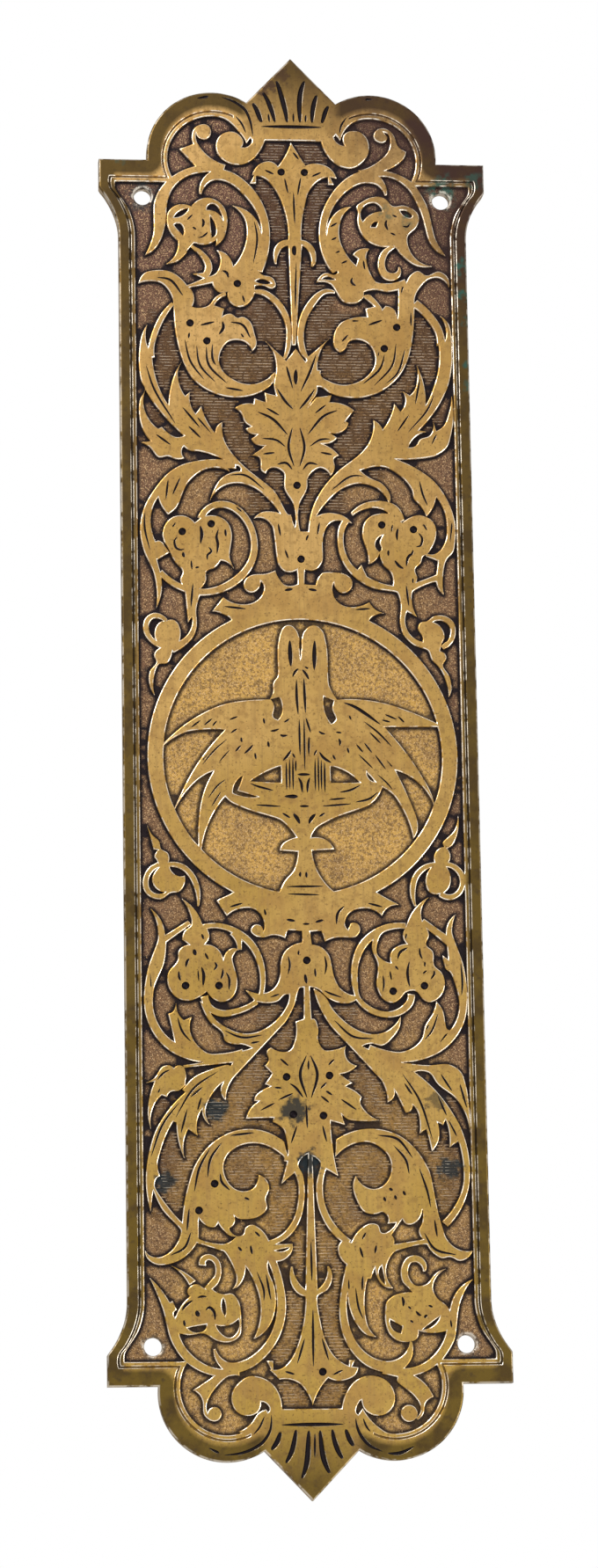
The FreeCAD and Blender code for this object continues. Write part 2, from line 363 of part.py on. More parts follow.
# Upper middle: palmette, hanging bud, tulip and cartouche
def upper_middle():
    crown = leaf([
        (-7.2, 104.4), (-5.8, 102.6), (-4.9, 100.0), (-4.7, 97.0), (-5.2, 94.4), (-5.3, 92.0),
        (-4.2, 89.6),
        (-2.7, 87.9), (-0.5, 81.0), (2.8, 87.4), (3.8, 89.2), (5.4, 91.6), (5.3, 94.6), (5.6, 98.0),
        (6.0, 101.0),
        (7.0, 103.2), (8.6, 105.3), (6.0, 103.2), (3.6, 101.0), (2.6, 99.2), (0.2, 102.6), (-2.2, 99.4),
        (-4.4, 102.0)], [0, 7, 8, 9, 16, 19, 20, 21])
    left_palm = leaf([
        (-2.7, 87.9), (-3.4, 89.4), (-4.8, 90.6), (-7.7, 91.3), (-7.3, 88.8), (-10.2, 89.8),
        (-10.4, 88.4),
        (-12.8, 88.4), (-15.0, 87.3), (-13.6, 86.2), (-12.6, 83.8), (-10.9, 82.6), (-12.4, 82.1),
        (-11.2, 80.8),
        (-9.5, 80.6), (-11.1, 79.5), (-9.9, 78.1), (-7.6, 77.8), (-9.0, 76.6), (-10.9, 75.3),
        (-9.2, 74.9),
        (-8.7, 73.2), (-8.6, 71.4), (-7.6, 70.8), (-6.8, 72.0), (-5.2, 72.3), (-3.6, 71.6), (-2.9, 70.2),
        (0.2, 69.6), (0.2, 86.0)], [0, 3, 4, 5, 6, 8, 11, 12, 14, 15, 17, 19, 23, 27, 28, 29])
    right_palm = leaf([
        (2.8, 87.4), (3.8, 89.0), (5.4, 90.4), (8.9, 90.8), (8.3, 89.0), (11.0, 88.8), (14.4, 87.0),
        (13.2, 85.6),
        (12.2, 84.2), (13.0, 83.8), (12.2, 82.2), (10.4, 81.2), (8.2, 81.3), (10.1, 80.0), (8.8, 78.9),
        (6.0, 78.5),
        (8.6, 77.3), (10.5, 75.5), (9.3, 74.8), (9.4, 72.4), (8.3, 70.3), (7.4, 71.7), (6.0, 72.4),
        (4.2, 71.6),
        (2.8, 69.6), (-0.2, 69.6), (-0.2, 86.0)], [0, 3, 4, 6, 8, 9, 12, 13, 15, 17, 20, 24, 25, 26])
    hanging_bud = leaf([
        (-2.9, 70.4), (-3.2, 67.8), (-2.6, 65.8), (-1.1, 63.6), (-0.9, 60.0), (-0.7, 55.6), (0.7, 55.6),
        (0.4, 60.0), (0.6, 63.6), (2.0, 66.0), (2.7, 68.2), (2.6, 70.4)], [0, 5, 6, 11])
    tulip = leaf([
        (-10.7, 59.4), (-9.4, 60.8), (-7.0, 60.9), (-4.2, 60.6), (-1.6, 60.4), (-0.9, 57.4), (-0.4, 56.2),
        (2.6, 56.2), (2.9, 58.6), (3.4, 60.6), (4.6, 60.0), (6.4, 60.8), (8.8, 60.9), (11.4, 60.2),
        (13.4, 58.4),
        (11.2, 59.0), (9.2, 59.0), (7.4, 57.8), (6.4, 55.6), (6.1, 52.5), (6.1, 49.4), (5.0, 47.0),
        (3.0, 46.6),
        (1.6, 46.8), (1.4, 42.4), (-0.2, 42.4), (-0.3, 46.6), (-1.6, 46.0), (-3.4, 46.2), (-4.8, 47.8),
        (-5.3, 50.5),
        (-5.5, 54.4), (-6.2, 57.4), (-7.6, 59.1), (-9.2, 59.4)], [0, 4, 6, 7, 9, 10, 14, 23, 24, 25, 26])
    cartouche = leaf([
        (-0.2, 43.0), (-3.3, 42.7), (-4.2, 44.5), (-5.6, 46.4), (-7.6, 45.6), (-10.0, 45.2),
        (-12.4, 44.8),
        (-13.5, 42.9), (-12.8, 41.2), (-11.2, 40.8), (-9.7, 41.9), (-9.3, 43.8), (-8.5, 42.4),
        (-8.8, 40.6),
        (-10.2, 38.8), (-12.4, 37.9), (-15.0, 37.9), (-17.0, 38.6), (-18.5, 39.6), (-19.4, 37.9),
        (-21.2, 36.0),
        (-19.4, 35.0), (-16.8, 34.3), (-16.0, 32.6), (0.0, 35.6), (16.4, 32.6), (17.4, 34.4),
        (19.0, 35.0),
        (20.8, 35.8), (18.5, 36.9), (17.3, 38.6), (15.4, 37.7), (13.2, 37.3), (11.0, 37.6), (9.2, 38.9),
        (8.3, 41.0), (8.7, 43.6), (9.3, 41.7), (10.8, 40.8), (12.5, 41.5), (13.3, 43.3), (12.2, 45.2),
        (9.6, 45.6),
        (7.4, 45.5), (5.8, 45.8), (4.7, 44.4), (4.2, 42.7), (1.4, 42.9)],
        [0, 1, 3, 11, 18, 20, 22, 23, 24, 25, 26, 28, 30, 36, 44, 46, 47])
    return [crown, left_palm, right_palm, hanging_bud, tulip, cartouche]


# Upper flowers with two dots, their bands, and the three-lobed buds above the medallion
def upper_flowers():
    left_flower = leaf([
        (-25.2, 58.2), (-23.4, 59.6), (-20.6, 60.0), (-17.8, 59.0), (-16.3, 56.4), (-16.3, 52.6),
        (-16.7, 49.2),
        (-15.8, 46.8), (-17.6, 48.4), (-19.0, 48.8), (-20.4, 47.0), (-22.5, 46.0), (-22.6, 43.8),
        (-24.0, 42.2),
        (-24.2, 39.6), (-25.2, 36.2), (-27.1, 33.2), (-27.2, 36.4), (-27.8, 40.0), (-27.6, 41.4),
        (-28.9, 43.6),
        (-28.3, 46.0), (-30.0, 48.2), (-31.0, 51.0), (-33.0, 54.2), (-32.8, 57.0), (-30.8, 59.4),
        (-28.2, 60.0)],
        [0, 7, 9, 11, 13, 15, 16, 19, 21])
    left_band = stem([
        (-23.8, 59.2), (-22.6, 61.2), (-20.6, 62.5), (-18.2, 62.9), (-15.6, 62.1), (-13.2, 60.0),
        (-11.5, 57.0),
        (-10.7, 53.4), (-11.1, 49.6), (-12.9, 46.2), (-15.6, 43.6), (-19.0, 41.7), (-22.4, 40.8),
        (-25.0, 40.8)],
        [1.6, 1.6, 1.6, 1.7, 1.8, 1.8, 1.7, 1.7, 1.8, 1.9, 2.0, 1.8, 1.8, 1.6])
    left_link = stem([(-27.4, 41.4), (-29.8, 42.6), (-32.0, 44.0), (-33.8, 45.8)], [1.4, 1.4, 1.5, 1.4])
    left_foot = stem([(-25.4, 36.8), (-25.7, 33.8), (-25.8, 31.8), (-26.8, 29.6), (-28.6, 28.0),
        (-31.2, 26.4)],
                     [1.0, 1.2, 1.4, 1.5, 1.6, 1.8])
    left_clasp = stem([
        (-32.4, 33.5), (-33.6, 34.5), (-35.2, 34.9), (-36.8, 34.0), (-37.4, 32.0), (-36.9, 30.0),
        (-35.6, 28.4),
        (-34.2, 27.4)], [0.9, 1.2, 1.3, 1.4, 1.4, 1.3, 1.2, 1.0])
    left_bud = leaf([
        (-34.9, 30.4), (-34.9, 32.2), (-33.8, 33.3), (-32.4, 33.4), (-31.0, 33.9), (-29.6, 33.0),
        (-29.0, 31.2),
        (-29.3, 28.3), (-30.9, 26.6), (-31.4, 24.4), (-32.6, 22.9), (-34.2, 22.8), (-35.5, 24.3),
        (-35.1, 26.0),
        (-34.0, 26.8), (-34.9, 28.4)], [3, 7, 14])
    left_tail = stem([(-34.4, 23.4), (-35.8, 21.0), (-36.2, 18.6), (-36.0, 16.4), (-35.5, 15.0)],
                     [0.8, 1.4, 1.0, 0.6, 0.2])
    right_flower = leaf([
        (17.3, 48.2), (17.1, 51.0), (16.0, 54.4), (16.0, 57.4), (17.4, 59.8), (20.3, 60.9), (23.4, 60.6),
        (25.8, 58.6), (27.6, 59.8), (30.2, 60.6), (32.8, 59.6), (34.1, 57.2), (33.8, 54.2), (32.2, 51.2),
        (30.8, 50.2), (30.2, 48.6), (28.7, 46.9), (29.2, 44.6), (28.0, 41.6), (27.8, 38.4), (28.9, 35.0),
        (26.6, 36.4), (25.0, 35.8), (24.9, 38.6), (24.2, 41.2), (22.8, 43.4), (22.8, 46.0), (20.8, 48.2),
        (20.0, 51.0), (18.8, 48.9)], [0, 7, 14, 16, 18, 20, 21, 22, 24, 26, 28])
    right_top = stem([(13.4, 60.7), (15.6, 62.3), (18.6, 63.2), (21.6, 62.9), (24.0, 61.4), (25.4, 58.8)],
                     [0.9, 1.5, 1.6, 2.2, 2.8, 2.0])
    right_band = stem([
        (12.2, 59.4), (10.8, 57.0), (10.5, 53.5), (11.2, 50.0), (12.9, 47.0), (15.4, 44.8), (18.6, 43.0),
        (21.6, 42.2), (24.8, 41.6)], [1.6, 1.6, 1.5, 1.6, 1.7, 1.9, 1.9, 1.8, 1.4])
    right_spur = leaf([(15.5, 48.0), (14.0, 46.0), (17.0, 44.6), (16.2, 46.4)], [0, 1, 2])
    right_link = stem([(27.6, 42.0), (30.4, 43.2), (34.6, 45.0)], [2.0, 1.9, 1.6])
    right_foot = stem([(25.8, 37.0), (25.5, 34.6), (25.5, 32.4), (26.4, 30.4), (28.2, 28.7),
        (31.2, 27.4)],
                      [1.6, 1.4, 1.3, 1.4, 1.5, 1.8])
    right_clasp = stem([
        (31.4, 33.6), (33.4, 34.6), (35.6, 34.6), (37.3, 33.3), (37.7, 31.0), (36.9, 28.8), (35.0, 27.2)],
        [1.0, 1.3, 1.4, 1.4, 1.3, 1.3, 1.0])
    right_bud = leaf([
        (29.1, 32.2), (29.8, 33.6), (31.4, 33.9), (33.4, 33.5), (35.0, 32.2), (35.5, 30.6), (34.6, 28.4),
        (34.4, 26.5), (35.7, 25.6), (35.9, 24.2), (34.9, 22.9), (33.4, 22.9), (32.3, 24.4), (31.6, 26.4),
        (30.3, 27.6), (30.2, 30.0)], [7, 15])
    right_tail = stem([(34.2, 23.0), (35.6, 21.0), (36.2, 19.0), (36.5, 16.5), (36.4, 15.0)],
                      [1.4, 1.3, 1.0, 0.8, 0.2])
    return [left_flower, left_band, left_link, left_foot, left_clasp, left_bud, left_tail,
        right_flower, right_top,
            right_band, right_spur, right_link, right_foot, right_clasp, right_bud, right_tail]


# Medallion: a ring round two birds that drink at a fountain with two jets
RING_CENTRE = (0.4, 0.2)
RING_OUTER = 37.7
RING_INNER = 33.9


def fountain():
    jets = leaf([
        (-5.6, 18.0), (-5.5, 24.0), (-5.1, 29.0), (-4.0, 32.0), (-2.5, 32.7), (-1.0, 31.9), (-0.2, 29.6),
        (0.1, 24.0), (0.6, 29.4), (1.4, 31.5), (3.0, 32.6), (4.8, 32.3), (6.1, 30.2), (6.7, 26.0),
        (7.0, 18.0)],
        [0, 7, 14])
    birds = leaf([
        (-7.5, 14.1), (-10.0, 14.0), (-13.0, 13.9), (-16.0, 13.5), (-19.0, 12.8), (-22.0, 11.6),
        (-25.0, 10.0),
        (-28.0, 8.0), (-30.5, 6.0), (-34.6, 2.0), (-31.5, 3.8), (-29.0, 5.6), (-27.0, 6.2), (-24.0, 6.1),
        (-18.5, 6.6), (-20.0, 5.0), (-22.0, 2.8), (-24.0, 0.2), (-26.0, -3.0), (-28.0, -6.5),
        (-29.5, -9.5),
        (-31.4, -14.0), (-28.7, -9.5), (-26.5, -7.0), (-24.5, -5.2), (-21.3, -3.5), (-22.3, -5.0),
        (-23.3, -7.3),
        (-24.0, -9.5), (-25.0, -15.0), (-25.3, -19.5), (-25.0, -25.0), (-24.0, -20.5), (-22.5, -16.0),
        (-21.0, -13.0), (-18.6, -9.8), (-18.0, -10.6), (-16.0, -11.7), (-13.5, -12.8), (-8.5, -14.2),
        (-6.0, -15.2),
        (-4.0, -16.5), (-1.5, -19.8), (-3.4, -20.4), (-5.0, -21.5), (-5.6, -23.0), (-1.2, -23.3),
        (-1.4, -25.0),
        (-2.4, -28.0), (-4.5, -30.4), (-5.2, -32.0), (-7.0, -35.4), (8.0, -35.4), (6.7, -31.7),
        (5.6, -30.8),
        (3.6, -28.2), (2.5, -25.6), (2.2, -23.0), (7.6, -22.7), (6.6, -21.0), (4.6, -20.1), (2.0, -19.9),
        (3.3, -17.6), (5.4, -16.1), (9.5, -14.6), (14.5, -12.7), (17.6, -10.8), (19.6, -7.4),
        (22.0, -9.0),
        (24.6, -13.0), (25.6, -15.5), (26.9, -20.0), (28.1, -17.6), (27.7, -15.5), (26.8, -12.5),
        (24.7, -7.0),
        (22.8, -3.2), (25.0, -4.4), (27.5, -5.5), (29.4, -7.4), (32.2, -12.0), (31.6, -9.3), (29.0, -4.2),
        (25.0, 1.5), (20.3, 7.5), (24.0, 7.5), (27.0, 7.6), (30.0, 7.5), (35.0, 7.6), (30.0, 9.8),
        (27.0, 11.0),
        (24.0, 12.2), (21.0, 13.2), (17.5, 14.0), (14.0, 14.2), (10.6, 13.9), (8.6, 14.4), (7.2, 17.2),
        (6.8, 20.0), (-5.4, 20.0), (-6.6, 18.2), (-6.6, 16.4)],
        [0, 9, 14, 21, 25, 31, 35, 42, 45, 46, 51, 52, 53, 57, 58, 61, 67, 71, 76, 80, 84, 88, 95, 98,
            99])
    return [jets, birds]


# Hollows inside the raised work, down to the ground
def hollows():
    return [
        leaf([(-7.4, 14.2), (-5.2, 14.8), (-4.8, 12.0), (-4.7, 10.4), (-5.6, 9.1), (-6.7, 9.9),
            (-6.4, 12.6)], [0, 1]),
        leaf([(5.7, 15.0), (8.2, 14.0), (7.7, 12.0), (8.5, 9.2), (7.4, 8.2), (6.4, 9.8),
            (6.0, 12.4)], [0, 1]),
        leaf([(-12.6, -6.1), (-10.0, -4.5), (-8.0, -3.4), (-5.0, -2.2), (-5.0, -6.4)], [0, 3, 4]),
        leaf([(7.0, -2.2), (9.5, -3.0), (12.0, -4.3), (14.2, -6.3), (7.1, -6.4)], [0, 3, 4]),
        leaf([(-14.2, -4.6), (-15.8, -6.6), (-16.8, -8.2), (-16.0, -9.4), (-10.5, -9.9), (-15.2, -8.7),
            (-15.4, -7.2)],
             [0, 4]),
        leaf([(15.8, -3.6), (17.0, -4.6), (18.0, -6.2), (16.6, -5.6)], [0, 2]),
        leaf([(-29.6, 135.9), (-28.6, 137.2), (-27.0, 138.2), (-25.8, 138.4), (-27.2, 137.0),
            (-28.4, 136.0)], [0, 3]),
        leaf([(-29.6, 134.0), (-28.2, 134.5), (-27.3, 133.4), (-27.3, 131.2), (-28.8, 132.6)], [0, 3]),
        leaf([(-21.4, 138.0), (-20.4, 139.6), (-19.2, 139.4), (-18.0, 137.6), (-17.3, 135.2),
            (-18.4, 137.0),
              (-19.6, 137.6)], [0, 4]),
        leaf([(-20.6, 136.6), (-19.5, 134.4), (-19.1, 132.0), (-20.2, 130.8), (-20.3, 133.0)], [0, 3]),
        leaf([(17.2, 138.6), (18.4, 139.8), (20.4, 140.6), (22.4, 138.3), (20.2, 137.8), (18.6, 137.0),
            (17.5, 135.6)],
             [3, 6]),
        leaf([(19.5, 134.2), (20.2, 135.5), (21.3, 135.7), (20.7, 134.2)]),
        leaf([(26.8, 138.7), (28.4, 138.6), (29.9, 137.3), (29.2, 136.7), (28.0, 137.3)], [0, 2]),
        leaf([(-9.6, 119.8), (-7.6, 120.4), (-5.6, 119.3), (-7.6, 119.1)], [0, 2]),
        leaf([(6.9, 120.5), (8.6, 121.3), (10.4, 120.4), (8.8, 120.2)], [0, 2]),
        leaf([(19.0, 52.4), (19.9, 51.2), (20.5, 51.8), (20.1, 53.6), (21.0, 55.5), (20.0, 55.0),
            (19.4, 53.6)],
             [1, 4]),
        leaf([(-29.2, -137.2), (-26.6, -137.0), (-24.6, -136.4), (-25.2, -137.9),
            (-27.4, -138.3)], [0, 2]),
        leaf([(-20.9, -138.0), (-19.6, -139.6), (-17.6, -138.6), (-17.0, -135.2), (-18.6, -136.4),
            (-22.4, -136.6)],
             [3, 5]),
        leaf([(-20.6, -130.2), (-20.0, -132.4), (-20.2, -134.6), (-20.9, -133.0)], [0, 2]),
        leaf([(-8.2, -119.2), (-6.0, -119.3), (-4.6, -118.4), (-6.4, -118.7)], [0, 2]),
        leaf([(18.9, -135.6), (19.6, -138.0), (21.4, -139.0), (21.9, -137.4), (20.4, -136.4)], [0]),
        leaf([(26.4, -138.2), (28.6, -136.6), (30.9, -134.9), (29.2, -137.2)], [0, 2]),
        leaf([(17.2, -122.9), (17.4, -125.6), (18.0, -127.4), (16.4, -124.6)], [0, 2]),
    ]


# Lower left
def lower_left():
    bud_tail = leaf([(-37.5, -17.0), (-36.4, -19.2), (-34.6, -21.0), (-34.2, -23.0), (-36.0, -22.8),
        (-36.7, -20.6)],
                    [0, 2, 3, 4])
    bud = leaf([
        (-35.8, -24.2), (-34.4, -22.7), (-32.8, -23.4), (-32.3, -25.2), (-32.6, -26.6), (-31.4, -28.0),
        (-30.0, -29.4), (-28.6, -29.2), (-28.7, -31.4), (-30.2, -33.2), (-32.4, -33.4), (-35.2, -32.6),
        (-36.4, -30.6), (-36.0, -28.6), (-34.8, -27.2), (-35.0, -25.8)], [4, 7, 10, 14])
    clasp = stem([
        (-34.8, -26.4), (-37.0, -28.0), (-38.0, -30.6), (-37.6, -32.8), (-36.0, -34.1), (-34.0, -34.2),
        (-32.0, -33.2)], [1.2, 1.4, 1.4, 1.4, 1.3, 1.3, 1.0])
    bud_stem = stem([(-32.6, -26.4), (-29.6, -26.8), (-27.6, -28.3), (-26.2, -30.6), (-25.6, -33.4),
        (-25.5, -36.6)],
                    [1.0, 1.3, 1.4, 1.5, 1.4, 0.4])
    flower = leaf([
        (-29.4, -34.8), (-27.2, -36.4), (-25.6, -38.6), (-24.6, -41.2), (-23.2, -42.4), (-22.9, -44.4),
        (-24.0, -45.9), (-21.6, -46.4), (-20.0, -48.2), (-19.6, -49.8), (-18.8, -47.8), (-17.4, -46.8),
        (-15.9, -47.2), (-17.2, -48.6), (-17.2, -50.6), (-16.4, -53.6), (-16.4, -56.6), (-17.8, -59.0),
        (-20.2, -59.8), (-22.4, -58.8), (-23.6, -57.2), (-25.4, -58.4), (-28.2, -59.5), (-31.0, -58.6),
        (-32.8, -56.0), (-32.9, -53.0), (-31.4, -50.8), (-30.5, -49.6), (-30.4, -47.6), (-28.8, -46.2),
        (-27.6, -46.0), (-29.2, -45.2), (-29.2, -43.2), (-27.2, -41.2), (-27.5, -38.6), (-28.2, -36.6)],
        [0, 3, 6, 9, 12, 20, 27, 30, 33])
    ring = stem([
        (-36.8, -37.2), (-34.9, -40.4), (-34.3, -43.6), (-34.4, -46.4), (-35.4, -49.8), (-36.6, -53.4),
        (-37.5, -57.4), (-37.5, -61.4), (-36.4, -65.2), (-34.2, -68.6), (-30.6, -71.4), (-26.0, -73.0),
        (-20.6, -73.4), (-15.0, -72.6)], [0.2, 1.2, 1.6, 2.6, 3.4, 2.8, 2.2, 2.1, 2.1, 2.2, 2.4, 2.2,
        2.4, 3.0])
    link = stem([(-27.6, -40.6), (-30.4, -42.6), (-33.6, -44.8)], [1.2, 1.6, 1.8])
    band = stem([
        (-24.4, -41.6), (-20.4, -41.4), (-16.8, -42.6), (-13.8, -44.8), (-11.6, -47.8), (-10.4, -51.4),
        (-10.2, -55.0), (-10.6, -58.4)], [1.2, 1.3, 1.5, 1.8, 1.7, 1.5, 1.4, 1.2])
    petal_hook = stem([(-17.6, -43.2), (-15.8, -45.0), (-15.6, -47.2)], [0.8, 1.6, 1.0])
    crescent = stem([(-24.2, -58.4), (-23.4, -60.8), (-21.2, -62.3), (-18.4, -62.5), (-15.4, -61.6),
        (-11.6, -59.8)],
                    [2.0, 1.8, 1.7, 1.5, 1.5, 1.2])
    trunk = leaf([
        (-25.2, -59.6), (-23.4, -61.6), (-22.0, -63.6), (-20.0, -65.4), (-17.2, -66.8), (-14.0, -67.5),
        (-11.0, -66.8), (-8.2, -65.2), (-5.8, -62.8), (-4.2, -60.2), (-3.8, -57.6), (-1.8, -57.2),
        (-2.4, -60.0),
        (-3.8, -63.0), (-5.8, -66.0), (-8.4, -68.8), (-11.4, -71.8), (-14.6, -74.8), (-17.2, -77.8),
        (-18.8, -80.4),
        (-19.4, -83.4), (-20.6, -80.6), (-17.0, -73.0), (-12.8, -71.0), (-15.5, -70.0), (-17.6, -69.9),
        (-19.3, -69.2), (-19.8, -67.6), (-21.6, -66.2),
        (-23.4, -63.8)], [0, 10, 11, 20, 21, 22, 23, 24, 27])
    ring_leaf = leaf([
        (-31.0, -60.0), (-30.7, -62.2), (-29.2, -64.2), (-28.2, -63.5), (-27.2, -63.3), (-27.8, -65.8),
        (-27.2, -68.4), (-25.2, -71.0), (-22.4, -72.5), (-19.0, -72.7), (-15.4, -71.6), (-12.8, -70.9),
        (-14.0, -74.0), (-20.0, -74.4), (-27.0, -72.6), (-31.0, -70.0), (-32.0, -68.0), (-32.4, -65.4),
        (-32.9, -62.6), (-31.8, -62.2)], [0, 2, 4, 11, 12, 13, 16, 18, 19])
    strip = stem([(-29.4, -75.3), (-25.0, -74.8), (-18.6, -73.8)], [0.6, 0.7, 1.6])
    low_leaf = leaf([
        (-37.3, -90.2), (-37.9, -88.0), (-37.9, -85.0), (-37.5, -82.0), (-36.3, -78.8), (-38.4, -79.2),
        (-36.8, -78.4), (-35.5, -76.4), (-34.2, -75.2), (-32.8, -75.0), (-31.7, -75.7), (-30.6, -75.0),
        (-29.4, -75.4), (-29.1, -77.0), (-29.4, -78.6), (-29.0, -79.8), (-30.6, -81.1), (-32.6, -81.4),
        (-33.4, -82.6), (-34.6, -82.1), (-36.6, -84.6), (-37.0, -87.4)], [0, 4, 5, 10, 13, 15, 18])
    fingers = leaf([
        (-18.6, -75.0), (-22.0, -76.1), (-25.6, -77.0), (-28.0, -78.8), (-29.8, -80.8), (-28.4, -82.0),
        (-30.4, -84.6), (-32.6, -88.2), (-31.2, -88.6), (-30.8, -91.4), (-30.6, -94.0), (-29.4, -97.2),
        (-29.2, -94.0), (-29.2, -92.0), (-28.4, -90.2), (-26.2, -91.8), (-26.3, -88.6), (-25.0, -85.4),
        (-24.8, -87.4), (-23.3, -89.2), (-24.2, -86.8), (-23.8, -84.0), (-21.0, -80.2), (-17.0, -76.0)],
        [0, 4, 5, 7, 8, 11, 14, 15, 17, 19, 22, 23])
    long_leaf = stem([
        (-28.2, -81.6), (-31.6, -85.6), (-34.0, -89.4), (-35.8, -93.4), (-36.8, -97.4), (-37.2, -101.4),
        (-37.8, -105.4), (-37.4, -109.8)], [1.4, 2.0, 2.8, 2.8, 2.4, 2.6, 1.4, 0.3])
    leaf_spur = leaf([(-36.6, -96.5), (-35.7, -99.4), (-35.2, -101.4), (-37.2, -102.6),
        (-38.0, -100.0)], [0, 2, 3, 4])
    side_stem = stem([(-37.0, -103.4), (-35.2, -107.2), (-33.4, -109.9), (-31.4, -112.4),
        (-29.6, -114.0)],
                     [0.6, 1.4, 1.5, 1.6, 1.6])
    horn = leaf([
        (-5.0, -97.6), (-6.8, -96.0), (-9.0, -94.6), (-12.0, -93.7), (-15.0, -93.9), (-17.6, -95.0),
        (-19.4, -96.8),
        (-20.2, -99.4), (-19.6, -102.0), (-18.0, -104.2), (-15.6, -105.1), (-13.4, -104.6),
        (-12.2, -103.0),
        (-11.8, -101.2), (-10.0, -102.4), (-9.3, -104.6), (-10.2, -107.0), (-9.9, -109.2),
        (-11.4, -110.8),
        (-13.8, -111.0), (-16.2, -111.8), (-17.8, -110.8), (-18.0, -113.2), (-19.0, -113.8),
        (-17.0, -115.8),
        (-18.4, -115.8), (-20.4, -113.4), (-21.6, -112.4), (-22.2, -113.5), (-23.6, -113.5),
        (-25.0, -112.6),
        (-26.2, -111.2), (-26.0, -115.0), (-26.6, -117.2), (-28.4, -118.8), (-29.4, -120.4),
        (-31.6, -121.6),
        (-34.0, -122.3), (-36.6, -122.2), (-38.5, -120.8), (-38.9, -119.0), (-37.8, -120.2),
        (-36.0, -120.6),
        (-34.0, -120.0), (-32.3, -118.5), (-30.6, -115.6), (-29.8, -110.0), (-29.0, -106.0),
        (-28.0, -101.6),
        (-26.0, -97.2), (-23.0, -93.8), (-19.0, -91.3), (-14.6, -90.3), (-10.0, -90.9), (-5.6, -93.4)],
        [0, 13, 16, 21, 22, 24, 25, 27, 31, 40, 54])
    lower_bud = leaf([
        (-20.2, -118.0), (-18.8, -116.6), (-17.2, -115.8), (-15.7, -115.4), (-15.2, -113.8),
        (-13.8, -113.0),
        (-12.2, -113.6), (-10.8, -115.6), (-9.2, -117.2), (-7.6, -117.8), (-5.4, -117.8), (-4.0, -117.6),
        (-4.2, -119.6), (-6.0, -121.4), (-8.2, -121.8), (-9.8, -121.2), (-10.0, -123.6), (-14.4, -124.6),
        (-15.2, -122.8), (-15.6, -125.4), (-16.8, -127.4), (-18.4, -128.2), (-17.4, -126.4),
        (-17.6, -124.6),
        (-18.8, -122.0), (-20.2, -119.8)], [3, 11, 15, 16, 17, 18, 21])
    bud_band = stem([
        (-9.6, -117.2), (-7.8, -117.0), (-5.4, -115.4), (-3.2, -112.6), (-2.0, -109.0), (-1.6, -105.0),
        (-2.0, -101.5),
        (-3.4, -98.6)], [0.8, 1.4, 1.6, 1.6, 1.5, 1.5, 1.5, 1.8])
    branch = stem([(-18.8, -118.8), (-21.6, -118.0), (-24.2, -117.4),
        (-27.0, -116.6)], [2.0, 1.5, 1.4, 1.0])
    outer_band = stem([
        (-8.9, -121.5), (-7.4, -126.5), (-6.8, -131.0), (-7.0, -134.5), (-8.0, -138.2), (-10.0, -141.6),
        (-12.8, -144.4), (-16.0, -146.2), (-19.2, -146.6), (-21.6, -145.0), (-22.8, -142.2)],
        [2.0, 2.0, 2.1, 2.2, 2.2, 2.2, 2.3, 2.4, 2.4, 1.6, 0.6])
    inner_band = stem([
        (-13.0, -121.5), (-11.4, -125.5), (-10.2, -129.0), (-10.0, -132.4), (-10.6, -135.6),
        (-11.8, -138.0),
        (-13.6, -139.8)], [5.0, 4.2, 4.0, 3.6, 2.8, 1.8, 0.3])
    flower_ring = stem([
        (-38.0, -125.5), (-35.6, -129.0), (-33.8, -132.6), (-32.8, -136.6), (-31.6, -140.6),
        (-29.2, -144.0),
        (-25.6, -146.6), (-21.4, -147.8), (-17.0, -147.6)], [0.2, 1.6, 2.2, 2.2, 2.2, 2.2, 2.0, 1.8, 1.8])
    left_flower = leaf([
        (-31.6, -134.2), (-30.4, -131.8), (-28.4, -129.8), (-29.0, -128.2), (-27.2, -127.0),
        (-25.4, -128.2),
        (-22.4, -128.2), (-20.4, -129.4), (-18.6, -129.2), (-17.1, -130.8), (-17.0, -133.6),
        (-16.4, -136.4),
        (-16.8, -139.2), (-19.0, -140.6), (-21.8, -140.4), (-24.4, -139.0), (-26.0, -138.4),
        (-29.0, -138.9),
        (-31.6, -138.2), (-32.6, -136.2)], [2, 5, 7, 15])
    ring_tip = leaf([(-32.6, -130.8), (-31.6, -133.0), (-33.4, -134.6), (-34.6, -132.4)], [0, 1, 2, 3])
    leaf_blade = leaf([(-32.8, -122.6), (-30.6, -123.6), (-27.0, -126.2), (-28.6, -127.2),
        (-30.0, -125.0)], [0, 2, 3])
    scroll = stem([
        (-25.4, -122.6), (-25.2, -121.2), (-23.8, -120.6), (-22.2, -121.6), (-21.7, -124.0),
        (-22.4, -126.4),
        (-24.6, -128.4)], [1.8, 1.6, 1.4, 1.4, 1.5, 1.6, 1.4])
    return [bud_tail, bud, clasp, bud_stem, flower, ring, link, band, petal_hook, crescent, trunk,
        ring_leaf, strip,
            low_leaf, fingers, long_leaf, leaf_spur, side_stem, horn, lower_bud, bud_band, branch,
                outer_band,
            inner_band, flower_ring, left_flower, ring_tip, leaf_blade, scroll]


